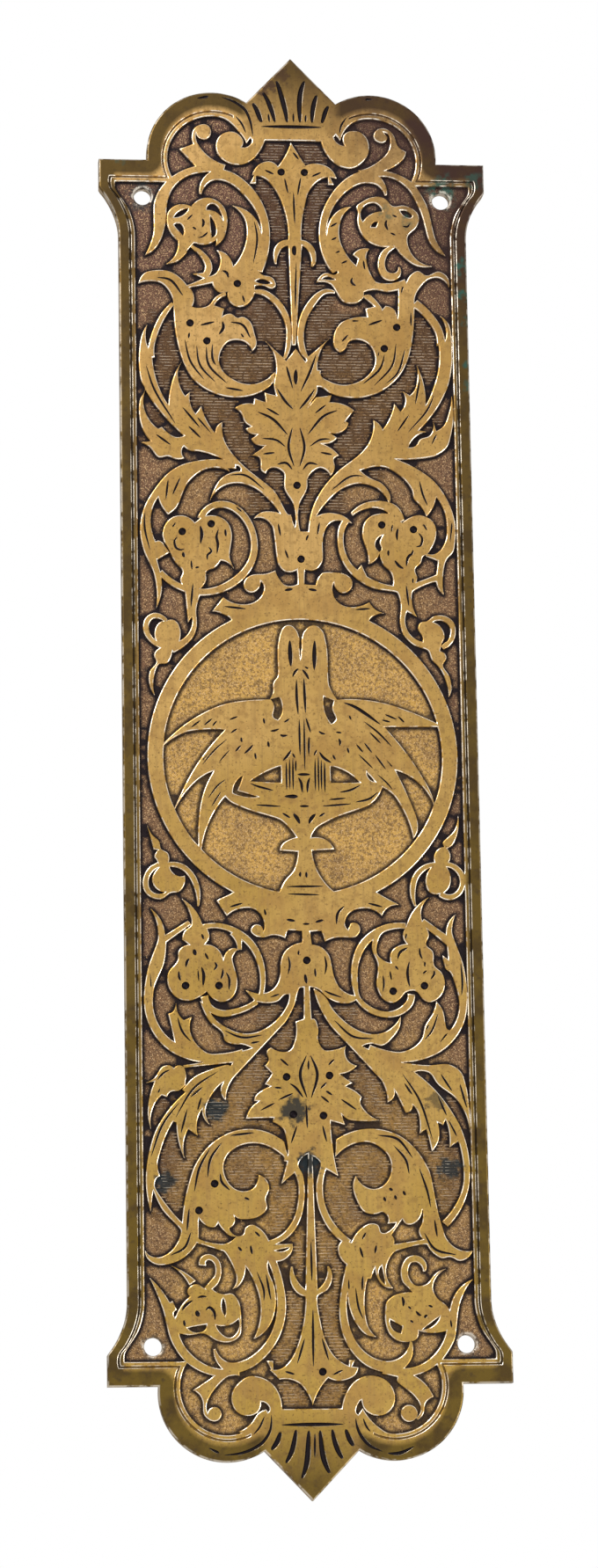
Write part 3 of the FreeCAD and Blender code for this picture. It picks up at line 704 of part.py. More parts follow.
# Lower right
def lower_right():
    bud_tail = leaf([(37.9, -14.4), (37.4, -17.0), (36.0, -19.2), (34.0, -21.2), (34.6, -22.6),
        (36.4, -21.6),
                     (37.6, -18.8)], [0, 3, 4])
    bud = leaf([
        (31.8, -24.4), (32.8, -22.6), (34.6, -22.2), (35.8, -23.8), (35.4, -25.8), (34.8, -27.0),
        (35.6, -28.8),
        (35.7, -31.2), (34.4, -33.2), (32.8, -33.6), (30.6, -33.2), (29.7, -31.2), (29.8, -29.2),
        (30.6, -27.6),
        (31.9, -26.2)], [5, 9, 14])
    clasp = stem([
        (34.8, -26.2), (37.0, -27.2), (38.5, -29.2), (38.4, -32.0), (37.0, -33.9), (35.0, -34.4),
        (33.0, -33.6)],
        [1.0, 1.4, 1.4, 1.4, 1.4, 1.4, 1.2])
    bud_stem = stem([(32.0, -26.2), (29.4, -27.2), (27.4, -29.2), (26.5, -32.0), (26.8, -35.0),
        (27.0, -36.6)],
                    [1.0, 1.4, 1.5, 1.5, 1.2, 0.5])
    flower = leaf([
        (30.4, -34.4), (28.4, -35.6), (26.6, -37.6), (25.6, -40.4), (24.4, -42.2), (23.8, -44.0),
        (24.8, -45.8),
        (22.4, -46.4), (20.8, -48.0), (20.8, -50.4), (19.6, -50.0), (18.4, -48.6), (16.9, -48.2),
        (17.6, -50.4),
        (17.4, -53.6), (17.4, -56.6), (18.6, -59.0), (20.8, -60.1), (22.8, -59.2), (24.2, -57.6),
        (26.6, -57.2),
        (28.0, -59.0), (30.2, -60.0), (32.6, -58.6), (33.8, -56.0), (33.2, -53.0), (31.4, -51.2),
        (31.0, -49.6),
        (31.0, -47.6), (29.4, -45.9), (30.2, -44.4), (29.8, -42.4), (28.6, -40.2), (28.4, -38.0),
        (29.0, -36.2)],
        [0, 6, 9, 12, 19, 20, 26, 29])
    ring = stem([
        (36.6, -38.6), (35.2, -41.4), (35.2, -44.4), (36.0, -48.0), (36.6, -51.4), (37.3, -55.0),
        (38.0, -58.6),
        (38.0, -62.0), (36.8, -65.6), (34.4, -68.9), (30.6, -71.6), (26.0, -73.0), (21.0, -73.2),
        (15.0, -71.6)],
        [0.2, 1.2, 1.8, 2.6, 3.6, 3.0, 2.0, 1.9, 2.0, 2.2, 2.4, 2.4, 2.6, 3.0])
    link = stem([(28.6, -40.2), (31.4, -42.4), (35.0, -45.4)], [1.4, 1.8, 2.0])
    ring_spur = leaf([(33.4, -48.6), (35.0, -50.0), (36.4, -53.0), (34.2, -52.0)], [0, 2])
    band = stem([
        (24.6, -41.4), (20.8, -41.6), (17.4, -43.0), (14.6, -45.4), (12.8, -48.4), (12.0, -52.0),
        (12.0, -55.4),
        (12.6, -58.8)], [1.4, 1.6, 1.8, 2.0, 1.8, 1.6, 1.5, 1.2])
    petal_hook = stem([(18.6, -43.0), (17.0, -45.4), (17.2, -48.4)], [0.8, 1.4, 1.0])
    crescent = stem([
        (25.6, -58.0), (25.2, -60.0), (23.4, -61.8), (20.4, -62.9), (17.0, -62.4), (14.4, -60.8),
        (12.6, -58.8)],
        [1.8, 1.8, 1.8, 1.5, 1.4, 1.5, 1.3])
    trunk = leaf([
        (22.9, -63.4), (20.8, -66.0), (18.0, -67.5), (15.0, -67.5), (12.0, -66.4), (9.0, -64.2),
        (6.6, -61.6),
        (4.6, -58.4), (2.0, -56.6), (3.4, -61.0), (5.6, -65.0), (8.4, -68.6), (11.6, -72.0),
        (14.8, -74.8),
        (17.4, -77.8), (18.8, -80.4), (19.4, -84.0), (20.8, -83.0), (20.9, -80.4), (22.0, -74.0),
        (13.4, -70.6),
        (15.6, -69.9), (18.4, -70.4), (21.0, -68.4), (22.6, -66.0)], [0, 7, 8, 16, 18, 19, 20, 22])
    ring_leaf = leaf([
        (31.6, -59.8), (30.8, -62.4), (29.6, -64.2), (28.8, -65.6), (28.0, -68.6), (25.6, -71.0),
        (22.4, -72.0),
        (18.6, -71.6), (15.4, -70.2), (14.0, -73.4), (21.0, -74.6), (28.0, -72.6), (32.4, -69.4),
        (34.2, -67.4),
        (34.0, -65.4), (33.2, -63.4), (32.8, -61.2)], [0, 2, 8, 9, 13])
    low_leaf = leaf([
        (22.0, -74.4), (26.0, -74.9), (30.0, -75.2), (32.6, -74.9), (35.0, -75.2), (37.0, -76.6),
        (38.0, -78.8),
        (38.6, -82.0), (39.0, -86.0), (39.0, -91.5), (38.0, -88.4), (37.2, -85.0), (35.4, -82.8),
        (33.2, -80.8),
        (31.4, -79.6), (30.4, -77.8), (28.8, -76.6), (26.8, -76.8), (24.0, -76.6)], [0, 3, 9, 15, 17])
    fingers = leaf([
        (21.0, -74.0), (26.0, -76.8), (29.4, -79.6), (32.6, -83.6), (35.4, -87.4), (37.4, -91.6),
        (38.4, -95.6),
        (38.8, -99.6), (38.6, -103.6), (37.6, -107.4), (35.8, -110.4), (33.2, -113.8), (31.8, -112.6),
        (34.2, -110.0), (36.0, -107.0), (37.2, -103.2), (37.2, -99.4), (36.4, -96.4), (36.2, -93.4),
        (34.0, -94.9),
        (33.7, -92.4), (33.8, -90.2), (33.2, -88.2), (32.6, -89.6), (31.2, -88.8), (31.4, -91.6),
        (31.2, -94.0),
        (29.8, -95.8), (29.2, -92.8), (28.6, -90.4), (26.9, -91.6), (27.0, -88.6), (26.4, -86.0),
        (25.3, -84.6),
        (24.8, -86.2), (23.7, -86.5), (22.8, -84.2), (21.0, -80.8), (19.6, -77.0)],
        [0, 11, 12, 18, 19, 22, 24, 27, 29, 30, 33, 35, 37])
    horn = leaf([
        (6.6, -97.0), (8.0, -95.6), (10.4, -94.2), (13.4, -93.4), (16.4, -94.2), (18.6, -95.8),
        (19.9, -98.2),
        (19.9, -100.6), (19.0, -102.8), (17.2, -104.4), (15.0, -104.7), (12.8, -103.6), (11.4, -101.6),
        (10.7, -103.6),
        (11.0, -105.6), (11.8, -108.0), (13.4, -110.2), (15.8, -110.7), (17.8, -110.2), (18.6, -110.8),
        (18.8, -113.0),
        (20.8, -112.8), (18.0, -115.2), (17.4, -116.6), (19.6, -115.8), (21.0, -114.0), (22.4, -111.8),
        (23.2, -113.1),
        (25.0, -113.1), (26.6, -111.6), (27.2, -109.4), (27.0, -113.0), (26.2, -115.0), (27.6, -117.2),
        (29.0, -119.2),
        (31.2, -121.2), (33.4, -121.0), (35.4, -121.9), (37.4, -121.6), (39.0, -119.6), (36.6, -119.4),
        (34.2, -118.4),
        (32.6, -116.2), (31.6, -112.8), (30.6, -107.6), (29.6, -102.4), (28.2, -98.6), (25.8, -95.2),
        (22.6, -92.4),
        (18.8, -90.8), (14.8, -90.4), (10.8, -91.0), (6.8, -92.9)],
        [0, 12, 18, 20, 21, 23, 26, 30, 36, 39, 52])
    lower_bud = leaf([
        (10.0, -117.4), (11.4, -115.8), (12.8, -113.8), (14.8, -112.9), (16.6, -113.4), (17.4, -115.2),
        (19.6, -115.6),
        (20.2, -117.4), (20.2, -119.8), (18.8, -121.8), (18.2, -124.0), (18.6, -126.4), (19.8, -128.3),
        (17.6, -127.8),
        (16.0, -125.6), (15.6, -123.2), (14.6, -126.0), (9.6, -126.0), (9.0, -122.8), (7.6, -121.2),
        (6.8, -119.2),
        (7.2, -117.6), (8.2, -116.8)], [0, 5, 12, 15, 16, 17, 18])
    bud_band = stem([
        (9.6, -117.4), (7.6, -116.0), (5.2, -113.2), (3.4, -109.6), (2.7, -105.6), (2.9, -102.0),
        (3.8, -98.6)],
        [1.4, 1.8, 1.8, 1.7, 1.6, 1.7, 1.8])
    branch = stem([(19.0, -119.0), (22.4, -118.6), (25.0, -118.0), (28.0, -117.4)], [2.0, 1.7, 1.5, 1.4])
    outer_band = stem([
        (10.0, -121.8), (8.8, -126.0), (8.0, -130.0), (7.8, -134.0), (8.4, -138.0), (10.0, -141.6),
        (12.6, -144.6),
        (16.0, -146.4), (20.0, -146.6), (22.8, -144.6), (23.8, -140.9)],
        [2.0, 1.6, 1.6, 1.9, 2.1, 2.2, 2.4, 2.6, 2.8, 2.2, 0.5])
    inner_band = stem([
        (12.0, -121.0), (11.6, -125.0), (11.0, -129.0), (11.2, -132.8), (12.0, -136.0), (13.4, -138.4),
        (15.6, -139.6)],
        [5.0, 4.6, 4.2, 3.6, 2.6, 1.6, 0.3])
    flower_ring = stem([
        (38.9, -126.2), (36.4, -128.6), (34.8, -131.6), (34.0, -135.0), (33.6, -138.4), (32.2, -142.0),
        (29.8, -145.0),
        (26.4, -147.2), (22.0, -148.2), (17.0, -147.4)], [0.2, 1.4, 2.0, 2.2, 2.4, 2.4, 2.2, 2.0, 2.0,
        2.0])
    right_flower = leaf([
        (18.0, -132.0), (19.2, -130.4), (21.6, -130.0), (24.6, -129.4), (26.4, -128.2), (28.8, -126.6),
        (30.4, -125.2),
        (29.3, -127.6), (30.0, -130.4), (32.2, -132.2), (33.6, -134.4), (32.4, -138.4), (28.6, -138.9),
        (25.6, -138.3),
        (25.2, -140.2), (22.6, -141.0), (19.8, -140.2), (18.2, -138.0), (17.9, -135.2)], [6, 10, 11, 13])
    scroll = stem([
        (27.3, -124.4), (27.2, -122.6), (25.6, -121.4), (23.6, -121.8), (22.6, -124.0), (23.0, -126.6),
        (25.0, -128.6),
        (27.6, -128.4)], [0.6, 1.4, 1.6, 1.6, 1.7, 1.8, 1.8, 2.0])
    blade = leaf([(32.6, -123.8), (30.4, -124.6), (28.4, -126.6), (29.4, -128.0),
        (30.2, -125.8)], [0, 2, 3])
    return [bud_tail, bud, clasp, bud_stem, flower, ring, link, ring_spur, band, petal_hook, crescent,
        trunk,
            ring_leaf, low_leaf, fingers, horn, lower_bud, bud_band, branch, outer_band, inner_band,
                flower_ring,
            right_flower, scroll, blade]


# Lower middle and lower end
def lower_middle():
    cartouche = leaf([
        (-16.0, -32.6), (-17.8, -33.9), (-21.0, -35.2), (-19.8, -36.8), (-18.6, -39.0), (-17.0, -37.9),
        (-14.8, -37.1),
        (-12.2, -37.2), (-10.4, -38.6), (-9.6, -40.8), (-9.9, -43.0), (-10.4, -41.4), (-12.0, -41.1),
        (-12.9, -42.4),
        (-12.2, -43.6), (-10.2, -44.2), (-7.6, -43.6), (-4.6, -44.4), (-4.0, -42.4), (-0.5, -42.6),
        (-0.5, -45.6),
        (1.8, -46.0), (1.4, -42.8), (4.2, -42.6), (5.0, -45.2), (6.4, -44.5), (9.0, -44.2), (12.6, -44.0),
        (13.6, -42.2), (12.8, -40.8), (11.2, -40.8), (10.6, -42.4), (9.9, -41.2), (10.2, -39.4),
        (12.0, -37.6),
        (14.8, -37.1), (17.2, -37.6), (18.9, -39.0), (20.4, -37.0), (23.0, -36.3), (21.2, -35.2),
        (18.4, -33.7),
        (16.6, -32.6), (0.0, -35.8)],
        [0, 1, 2, 4, 10, 17, 18, 19, 20, 21, 22, 23, 24, 31, 37, 39, 41, 42, 43])
    tulip = leaf([
        (-14.3, -57.0), (-12.0, -57.9), (-9.4, -57.6), (-7.2, -56.2), (-6.0, -53.4), (-5.8, -50.2),
        (-4.6, -47.4),
        (-2.4, -45.9), (-0.6, -45.4), (1.9, -46.0), (4.4, -46.8), (6.2, -49.2), (6.9, -53.0),
        (8.0, -56.0),
        (10.4, -57.8), (13.2, -58.8), (11.0, -60.0), (8.0, -60.0), (5.0, -58.6), (3.2, -56.8),
        (1.0, -56.2),
        (-1.2, -56.4), (-2.4, -57.8), (-4.6, -58.0), (-6.4, -59.6), (-9.4, -60.1), (-12.4, -59.4)],
        [0, 8, 9, 15, 19, 21, 23])
    bud_stem = stem([(0.4, -55.8), (0.4, -60.0), (0.5, -64.6)], [1.4, 1.4, 2.0])
    hanging_bud = leaf([
        (-2.5, -64.6), (-0.4, -63.9), (2.0, -63.9), (2.9, -65.6), (2.9, -69.0), (4.2, -71.4),
        (6.4, -72.0), (8.2, -70.8),
        (9.6, -70.4), (9.6, -73.4), (-8.6, -73.6), (-9.4, -71.6), (-8.4, -70.8), (-6.6, -71.8),
        (-4.4, -71.8),
        (-3.0, -70.2), (-2.6, -67.4)], [0, 2, 8, 9, 10, 11])
    left_palm = leaf([
        (-9.4, -71.4), (-9.0, -73.8), (-10.0, -75.2), (-8.2, -77.0), (-9.4, -78.6), (-10.0, -79.6),
        (-8.6, -80.1),
        (-10.6, -81.0), (-12.4, -82.6), (-12.6, -83.6), (-11.4, -83.6), (-13.4, -85.2), (-14.6, -87.8),
        (-11.4, -88.0),
        (-8.0, -87.6), (-8.2, -88.6), (-6.8, -89.2), (-5.6, -90.6), (-5.4, -93.2), (-4.8, -97.0),
        (-5.2, -99.4),
        (-6.4, -103.4), (-3.4, -101.0), (-1.8, -97.8), (0.4, -96.0), (0.4, -72.0)],
        [0, 2, 3, 5, 6, 8, 10, 12, 14, 15, 21, 23, 24, 25])
    right_palm = leaf([
        (9.8, -70.8), (9.6, -73.0), (10.4, -74.4), (12.2, -75.2), (10.4, -76.6), (7.8, -77.2),
        (9.8, -78.4), (11.0, -79.4),
        (9.2, -80.2), (11.4, -81.2), (13.2, -82.8), (12.8, -83.8), (14.2, -86.4), (17.2, -88.3),
        (13.2, -88.0),
        (11.6, -88.2), (9.6, -88.0), (8.2, -86.8), (9.0, -89.4), (7.4, -89.0), (5.6, -88.4),
        (6.0, -90.8), (6.2, -94.0),
        (6.4, -97.6), (7.2, -101.6), (4.8, -100.4), (2.8, -98.2), (0.2, -96.0), (0.2, -72.0)],
        [0, 3, 5, 7, 8, 10, 11, 13, 16, 17, 18, 20, 24, 26, 27, 28])
    middle_stem = stem([
        (0.6, -96.0), (0.6, -106.0), (0.5, -112.0), (0.4, -118.0), (0.3, -124.0), (0.4, -131.0)],
        [1.0, 1.2, 1.6, 2.0, 2.6, 3.0])
    left_hook = stem([(0.0, -129.6), (-2.2, -128.8), (-3.6, -127.0), (-4.1, -125.0), (-4.2, -123.0)],
                     [1.4, 1.7, 1.7, 1.4, 0.4])
    right_hook = stem([(0.8, -129.6), (2.8, -128.8), (4.2, -127.0), (4.7, -125.0), (4.4, -123.0)],
                      [1.4, 1.5, 1.6, 1.3, 0.4])
    lily = leaf([
        (-1.0, -130.4), (2.0, -130.4), (2.1, -134.0), (2.8, -138.0), (4.0, -141.8), (6.0, -144.6),
        (8.6, -146.4),
        (11.2, -146.8), (10.6, -148.4), (8.6, -149.6), (6.0, -149.9), (4.0, -149.2), (2.6, -150.8),
        (1.2, -153.2),
        (0.2, -155.6), (-1.0, -153.0), (-2.4, -150.8), (-3.8, -149.9), (-6.6, -149.8), (-8.6, -148.8),
        (-9.8, -147.2),
        (-7.6, -147.2), (-5.4, -145.6), (-3.8, -143.0), (-2.4, -139.4),
        (-1.6, -135.4)], [0, 1, 7, 11, 14, 17, 20])
    bar = [(-8.5, -156.5), (8.5, -156.5), (8.5, -161.5), (-8.5, -161.5)]
    left_volute = leaf([
        (-7.0, -156.6), (-7.2, -154.6), (-8.0, -152.2), (-9.6, -150.2), (-12.4, -148.8), (-15.2, -148.8),
        (-17.4, -150.4), (-18.8, -152.6), (-18.8, -155.0), (-17.6, -157.0), (-15.4, -157.9),
        (-13.2, -157.4),
        (-12.0, -155.8), (-12.0, -154.6), (-10.4, -155.4), (-9.6, -158.0), (-9.4, -161.5),
        (-7.0, -161.5)],
        [0, 13, 16, 17])
    right_volute = leaf([
        (7.0, -156.6), (7.6, -154.6), (8.6, -152.0), (10.6, -149.8), (13.4, -148.8), (16.4, -149.2),
        (18.6, -150.8),
        (19.7, -153.2), (19.4, -155.8), (17.8, -157.6), (15.6, -158.2), (13.6, -157.6), (12.2, -156.2),
        (11.8, -154.4),
        (11.0, -156.0), (10.0, -158.6), (9.6, -161.5), (7.0, -161.5)], [0, 13, 16, 17])
    left_tail = leaf([
        (-17.4, -161.6), (-15.0, -160.2), (-13.4, -158.2), (-12.0, -156.8), (-10.8, -156.4),
        (-9.8, -158.4),
        (-8.0, -161.4), (-10.0, -164.0)], [0, 4, 6, 7])
    right_tail = leaf([
        (19.0, -162.8), (16.4, -161.4), (14.6, -159.6), (13.4, -158.0), (12.0, -156.4), (10.6, -158.4),
        (9.0, -161.6),
        (12.0, -164.4)], [0, 4, 6, 7])
    left_curl = stem([
        (-21.6, -149.0), (-23.8, -151.0), (-25.0, -153.4), (-25.4, -155.8), (-24.8, -157.8),
        (-23.2, -158.6)],
        [2.6, 2.2, 1.6, 1.0, 0.8, 0.8])
    right_curl = stem([
        (21.0, -149.0), (23.6, -151.2), (25.4, -153.6), (26.2, -155.8), (26.0, -157.8), (24.8, -159.0)],
        [2.4, 2.2, 1.8, 1.0, 0.8, 0.6])
    left_spike = leaf([
        (-28.0, -151.8), (-26.4, -152.9), (-25.6, -154.4), (-24.4, -153.6), (-20.0, -149.0),
        (-18.0, -147.8),
        (-22.0, -148.2), (-25.2, -149.8)], [0, 2, 5])
    right_spike = leaf([
        (28.9, -153.9), (27.2, -155.0), (26.6, -156.6), (25.0, -154.0), (21.0, -149.6), (18.6, -148.0),
        (23.0, -148.2),
        (26.0, -150.0), (28.0, -152.0)], [0, 2, 5])
    knobs = [disc(-23.0, -157.4, 1.7), disc(23.0, -157.7, 2.0)]
    return [cartouche, tulip, bud_stem, hanging_bud, left_palm, right_palm, middle_stem, left_hook,
        right_hook, lily,
            bar, left_volute, right_volute, left_tail, right_tail, left_curl, right_curl, left_spike,
            right_spike] + knobs


# Joins where two pieces of the raised work only touch
def joins():
    crown_join = stem([(5.8, 97.2), (5.6, 95.1), (5.5, 93.0)], [1.2, 1.2, 1.2])
    return [crown_join, disc(-5.1, -97.4, 0.8), disc(34.2, -67.3, 0.8)]


# Plate outline: straight sides, ears that sweep out, two lobes and a pointed tip at each end
def sweep(side):
    steps = [i / 6 for i in range(7)]
    return [(side + EAR_REACH * t * t, NECK + (EAR_FOOT - NECK) * t) for t in steps]


def quarter():
    first = math.asin((EAR_TOP - LOBE_HEIGHT) / LOBE_RADIUS)
    angles = [first + (LOBE_END - first) * i / LOBE_STEPS for i in range(LOBE_STEPS + 1)]
    lobe = []
    for a in angles:
        lobe.append((LOBE_ACROSS + LOBE_RADIUS * math.cos(a), LOBE_HEIGHT + LOBE_RADIUS * math.sin(a)))
    return sweep(HALF_BODY) + [(HALF_BODY + EAR_REACH, EAR_TOP)] + lobe + [(0.0, TIP)]


def whole(points):
    """All four quarters of an outline given for the upper right one."""
    upper_left = [(-x, z) for x, z in points[::-1]]
    half = points + (upper_left[1:] if points[-1][0] == 0 else upper_left)
    lower = [(x, -z) for x, z in half[::-1]]
    return half + (lower[1:-1] if half[0][1] == 0 else lower)


def face(points):
    corners = [FreeCAD.Vector(x, TOP, z) for x, z in points]
    return Part.Face(Part.makePolygon(corners + corners[:1]))


def drawn(points):
    return face([(x * ACROSS, z * ALONG) for x, z in points])


def merged(shape):
    """One face for each patch of touching faces, without the edges that two of them share."""
    uses = {}
    for patch in shape.Faces:
        for edge in patch.Edges:
            uses.setdefault(edge.hashCode(), []).append(edge)
    border = [same[0] for same in uses.values() if len(same) == 1]
    wires = [Part.Wire(run) for run in Part.sortEdges(border)]
    return Part.makeFace(wires, "Part::FaceMakerBullseye")


def panel(grow):
    """Sunk field inside the rim: the body with its ears, and a round field in each lobe."""
    field = sweep(FIELD_SIDE + grow)
    body = face(whole(field + [(FIELD_SIDE + EAR_REACH + grow, FIELD_TOP + grow)]))
    rounds = []
    for x in (-LOBE_ACROSS, LOBE_ACROSS):
        for z in (-LOBE_FIELD_HEIGHT, LOBE_FIELD_HEIGHT):
            rounds.append(face(disc(x, z, LOBE_RADIUS - LOBE_RIM + grow)))
    return merged(body.multiFuse(rounds))


def block(half_width, low, high):
    return face([(-half_width, low), (half_width, low), (half_width, high), (-half_width, high)])


def eased(wire):
    """The same loop with only the corners that it needs."""
    loop = [(corner.X, corner.Z) for corner in wire.OrderedVertexes]
    turn = max(range(len(loop)), key=lambda i: math.dist(loop[0], loop[i]))
    loop = thin(loop[: turn + 1], EASE)[:-1] + thin(loop[turn:] + loop[:1], EASE)[:-1]
    corners = [FreeCAD.Vector(x, TOP, z) for x, z in loop]
    return Part.makePolygon(corners + corners[:1])


def pocket(shape):
    return Part.makeFace([eased(wire) for wire in shape.Wires], "Part::FaceMakerBullseye")


def sunk(shape, depth):
    """Cutter that stands on a floor at the given depth and reaches out of the front."""
    raised = shape.copy()
    raised.translate(FreeCAD.Vector(0, depth, 0))
    return raised.extrude(FreeCAD.Vector(0, -depth - CLEAR, 0))


HALF_BODY = BODY_WIDTH / 2
TIP = LENGTH / 2
EAR_TOP = 150.8 * ALONG
NECK = 131.0 * ALONG
EAR_FOOT = 143.5 * ALONG
LOBE_ACROSS = 19.8 * ACROSS
LOBE_HEIGHT = 152.3 * ALONG
LOBE_FIELD_HEIGHT = 151.2 * ALONG
LOBE_END = math.radians(122)
LOBE_STEPS = 14
FIELD_SIDE = HALF_BODY - RIM_WIDTH - GROOVE_WIDTH - BEAD_WIDTH
FIELD_TOP = EAR_TOP - SHOULDER_RIM - GROOVE_WIDTH - BEAD_WIDTH
CROWN_TOP = 156.4 * ALONG
CROWN_HALF = 9.0 * ACROSS
GROOVE_STOP = 14.5 * ACROSS
CLEAR = 1.0
TO_FRONT = FreeCAD.Vector(0, -1, 0)

outline = face(whole(quarter()))
plate = outline.extrude(FreeCAD.Vector(0, THICKNESS, 0))

field = panel(0.0)
upper_crown = block(CROWN_HALF, FIELD_TOP - CLEAR, CROWN_TOP)
lower_crown = block(CROWN_HALF, -CROWN_TOP, CLEAR - FIELD_TOP)
ground = merged(field.multiFuse([upper_crown, lower_crown]))

raised = upper_end() + upper_left() + upper_right() + upper_middle() + upper_flowers()
raised = raised + fountain() + lower_left() + lower_right() + lower_middle() + joins()
medallion = drawn(disc(*RING_CENTRE, RING_OUTER)).cut(drawn(disc(*RING_CENTRE, RING_INNER)))
pockets = merged(ground.cut([drawn(points) for points in raised] + [medallion]))
pockets = [pocket(shape) for shape in pockets.Faces if shape.Area > SPECK]
pockets += [pocket(drawn(points)) for points in hollows()]

stops = [block(GROOVE_STOP, FIELD_TOP, TIP), block(GROOVE_STOP, -TIP, -FIELD_TOP)]
groove = panel(BEAD_WIDTH + GROOVE_WIDTH).cut([panel(BEAD_WIDTH)] + stops)

holes = []
for x in (-HALF_BODY - EAR_REACH + HOLE_FROM_SIDE, HALF_BODY + EAR_REACH - HOLE_FROM_SIDE):
    for z in (HOLE_FROM_TOP - EAR_TOP, EAR_TOP - HOLE_FROM_TOP):
        start = FreeCAD.Vector(x, CLEAR, z)
        holes.append(Part.makeCylinder(SCREW_HOLE / 2, THICKNESS + 2 * CLEAR, start, TO_FRONT))

cutters = [sunk(shape, GROUND_DEPTH) for shape in pockets]
cutters += [sunk(shape, GROOVE_DEPTH) for shape in groove.Faces]
plate = plate.cut(cutters + holes)

os.makedirs("parts", exist_ok=True)
plate.Solids[0].exportStep("parts/finger_plate.step")
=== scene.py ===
# %% [markdown]
# # A cast brass finger plate
# A finger plate keeps hands off the paint of a door. This one is a single casting: a flat plate with a
# sunk ground and ornament left standing at the full height, later engraved, punched and worn by use.
# The CAD solid has every outline. Here the same outlines are read back, smoothed, and given the round
# shoulders, engraved lines, ruled and stippled ground and the aged metal of the real plate.

# %% Load the frame
import json
import math

import bpy
import numpy as np
from mathutils import Matrix, Vector
from mathutils.bvhtree import BVHTree
from mathutils.geometry import delaunay_2d_cdt
from mathutils.kdtree import KDTree


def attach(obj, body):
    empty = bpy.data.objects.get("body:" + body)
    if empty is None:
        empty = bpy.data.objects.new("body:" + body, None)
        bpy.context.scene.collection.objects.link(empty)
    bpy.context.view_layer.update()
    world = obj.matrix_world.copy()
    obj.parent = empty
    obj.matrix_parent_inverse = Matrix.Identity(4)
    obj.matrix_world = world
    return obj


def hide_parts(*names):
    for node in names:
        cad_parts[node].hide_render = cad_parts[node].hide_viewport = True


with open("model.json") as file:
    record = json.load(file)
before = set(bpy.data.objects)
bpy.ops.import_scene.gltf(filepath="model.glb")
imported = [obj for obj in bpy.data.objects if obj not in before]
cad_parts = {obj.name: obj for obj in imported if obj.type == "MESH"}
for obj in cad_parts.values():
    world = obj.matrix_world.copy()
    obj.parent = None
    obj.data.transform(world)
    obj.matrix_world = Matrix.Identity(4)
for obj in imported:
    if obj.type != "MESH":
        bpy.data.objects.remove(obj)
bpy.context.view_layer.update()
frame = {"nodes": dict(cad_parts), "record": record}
plate_node = frame["nodes"]["finger_plate"]

# %% [markdown]
# ## Reading the outlines
# A relief of this kind has only a few levels: the front, the sunk ground, the border groove and the back.
# The outlines could be drawn again here, but then two drawings would have to agree. Reading the border of
# the flat front faces gives the same loops, each with the raised metal on its left.

# %% Levels and loops of the solid
def solid_triangles(node):
    mesh = node.data
    mesh.calc_loop_triangles()
    spots = np.empty(len(mesh.vertices) * 3)
    mesh.vertices.foreach_get("co", spots)
    corners = np.empty(len(mesh.loop_triangles) * 3, int)
    mesh.loop_triangles.foreach_get("vertices", corners)
    spots = np.round(spots.reshape(-1, 3) * 1000, 3)
    spots, merged = np.unique(spots, axis=0, return_inverse=True)
    return spots, merged.ravel()[corners].reshape(-1, 3)


def flat_faces(level):
    return triangles[np.all(abs(spots[triangles][:, :, 1] - level) < 0.01, axis=1)]


def border_loops(level):
    runs = {(a, b) for t in flat_faces(level).tolist() for a, b in ((t[0], t[1]), (t[1], t[2]), (t[2], t[0]))}
    follow = {}
    for a, b in sorted(runs):
        if (b, a) not in runs:
            follow.setdefault(a, []).append(b)
    loops = []
    while follow:
        loop = [next(iter(follow))]
        while True:
            here = loop[-1]
            step = follow[here].pop()
            if not follow[here]:
                del follow[here]
            if step == loop[0]:
                break
            loop.append(step)
        loops.append(spots[loop])
    return loops


spots, triangles = solid_triangles(plate_node)
FRONT = spots[:, 1].min()
BACK = spots[:, 1].max()
below = {}
for x, y, z in spots.tolist():
    if y > FRONT + 0.05:
        below.setdefault((round(x, 2), round(z, 2)), []).append(y)
coarse = []
for loop in border_loops(FRONT):
    under = [below.get((round(x, 2), round(z, 2)), ()) for x, _, z in loop.tolist()]
    coarse.append((loop[:, [0, 2]], float(np.median([min(levels) for levels in under if levels]))))
GROUND = float(np.median([floor for _, floor in coarse]))
print(len(coarse), "loops, ground at", GROUND, "levels", sorted({round(f, 2) for _, f in coarse}))

# %% [markdown]
# ## Smooth lines from few corners
# The solid's loops are straight runs, as few as the shapes need. The real edges are curves cut by hand, so
# each loop becomes a chain of cubic pieces. A corner that turns sharply stays a corner, and a long
# straight run stays straight. A Subdivision Surface could do this too, but would round the leaf tips off.

# %% Smooth a loop
FINE = 0.7
LONG_RUN = 15.0
SHORT_RUN = 3.2
SHARP, BENT, SLIGHT = 66, 38, 12
BULGE = 1.6


def unit_rows(rows):
    return rows / np.maximum(np.hypot(rows[:, 0], rows[:, 1]), 1e-9)[:, None]


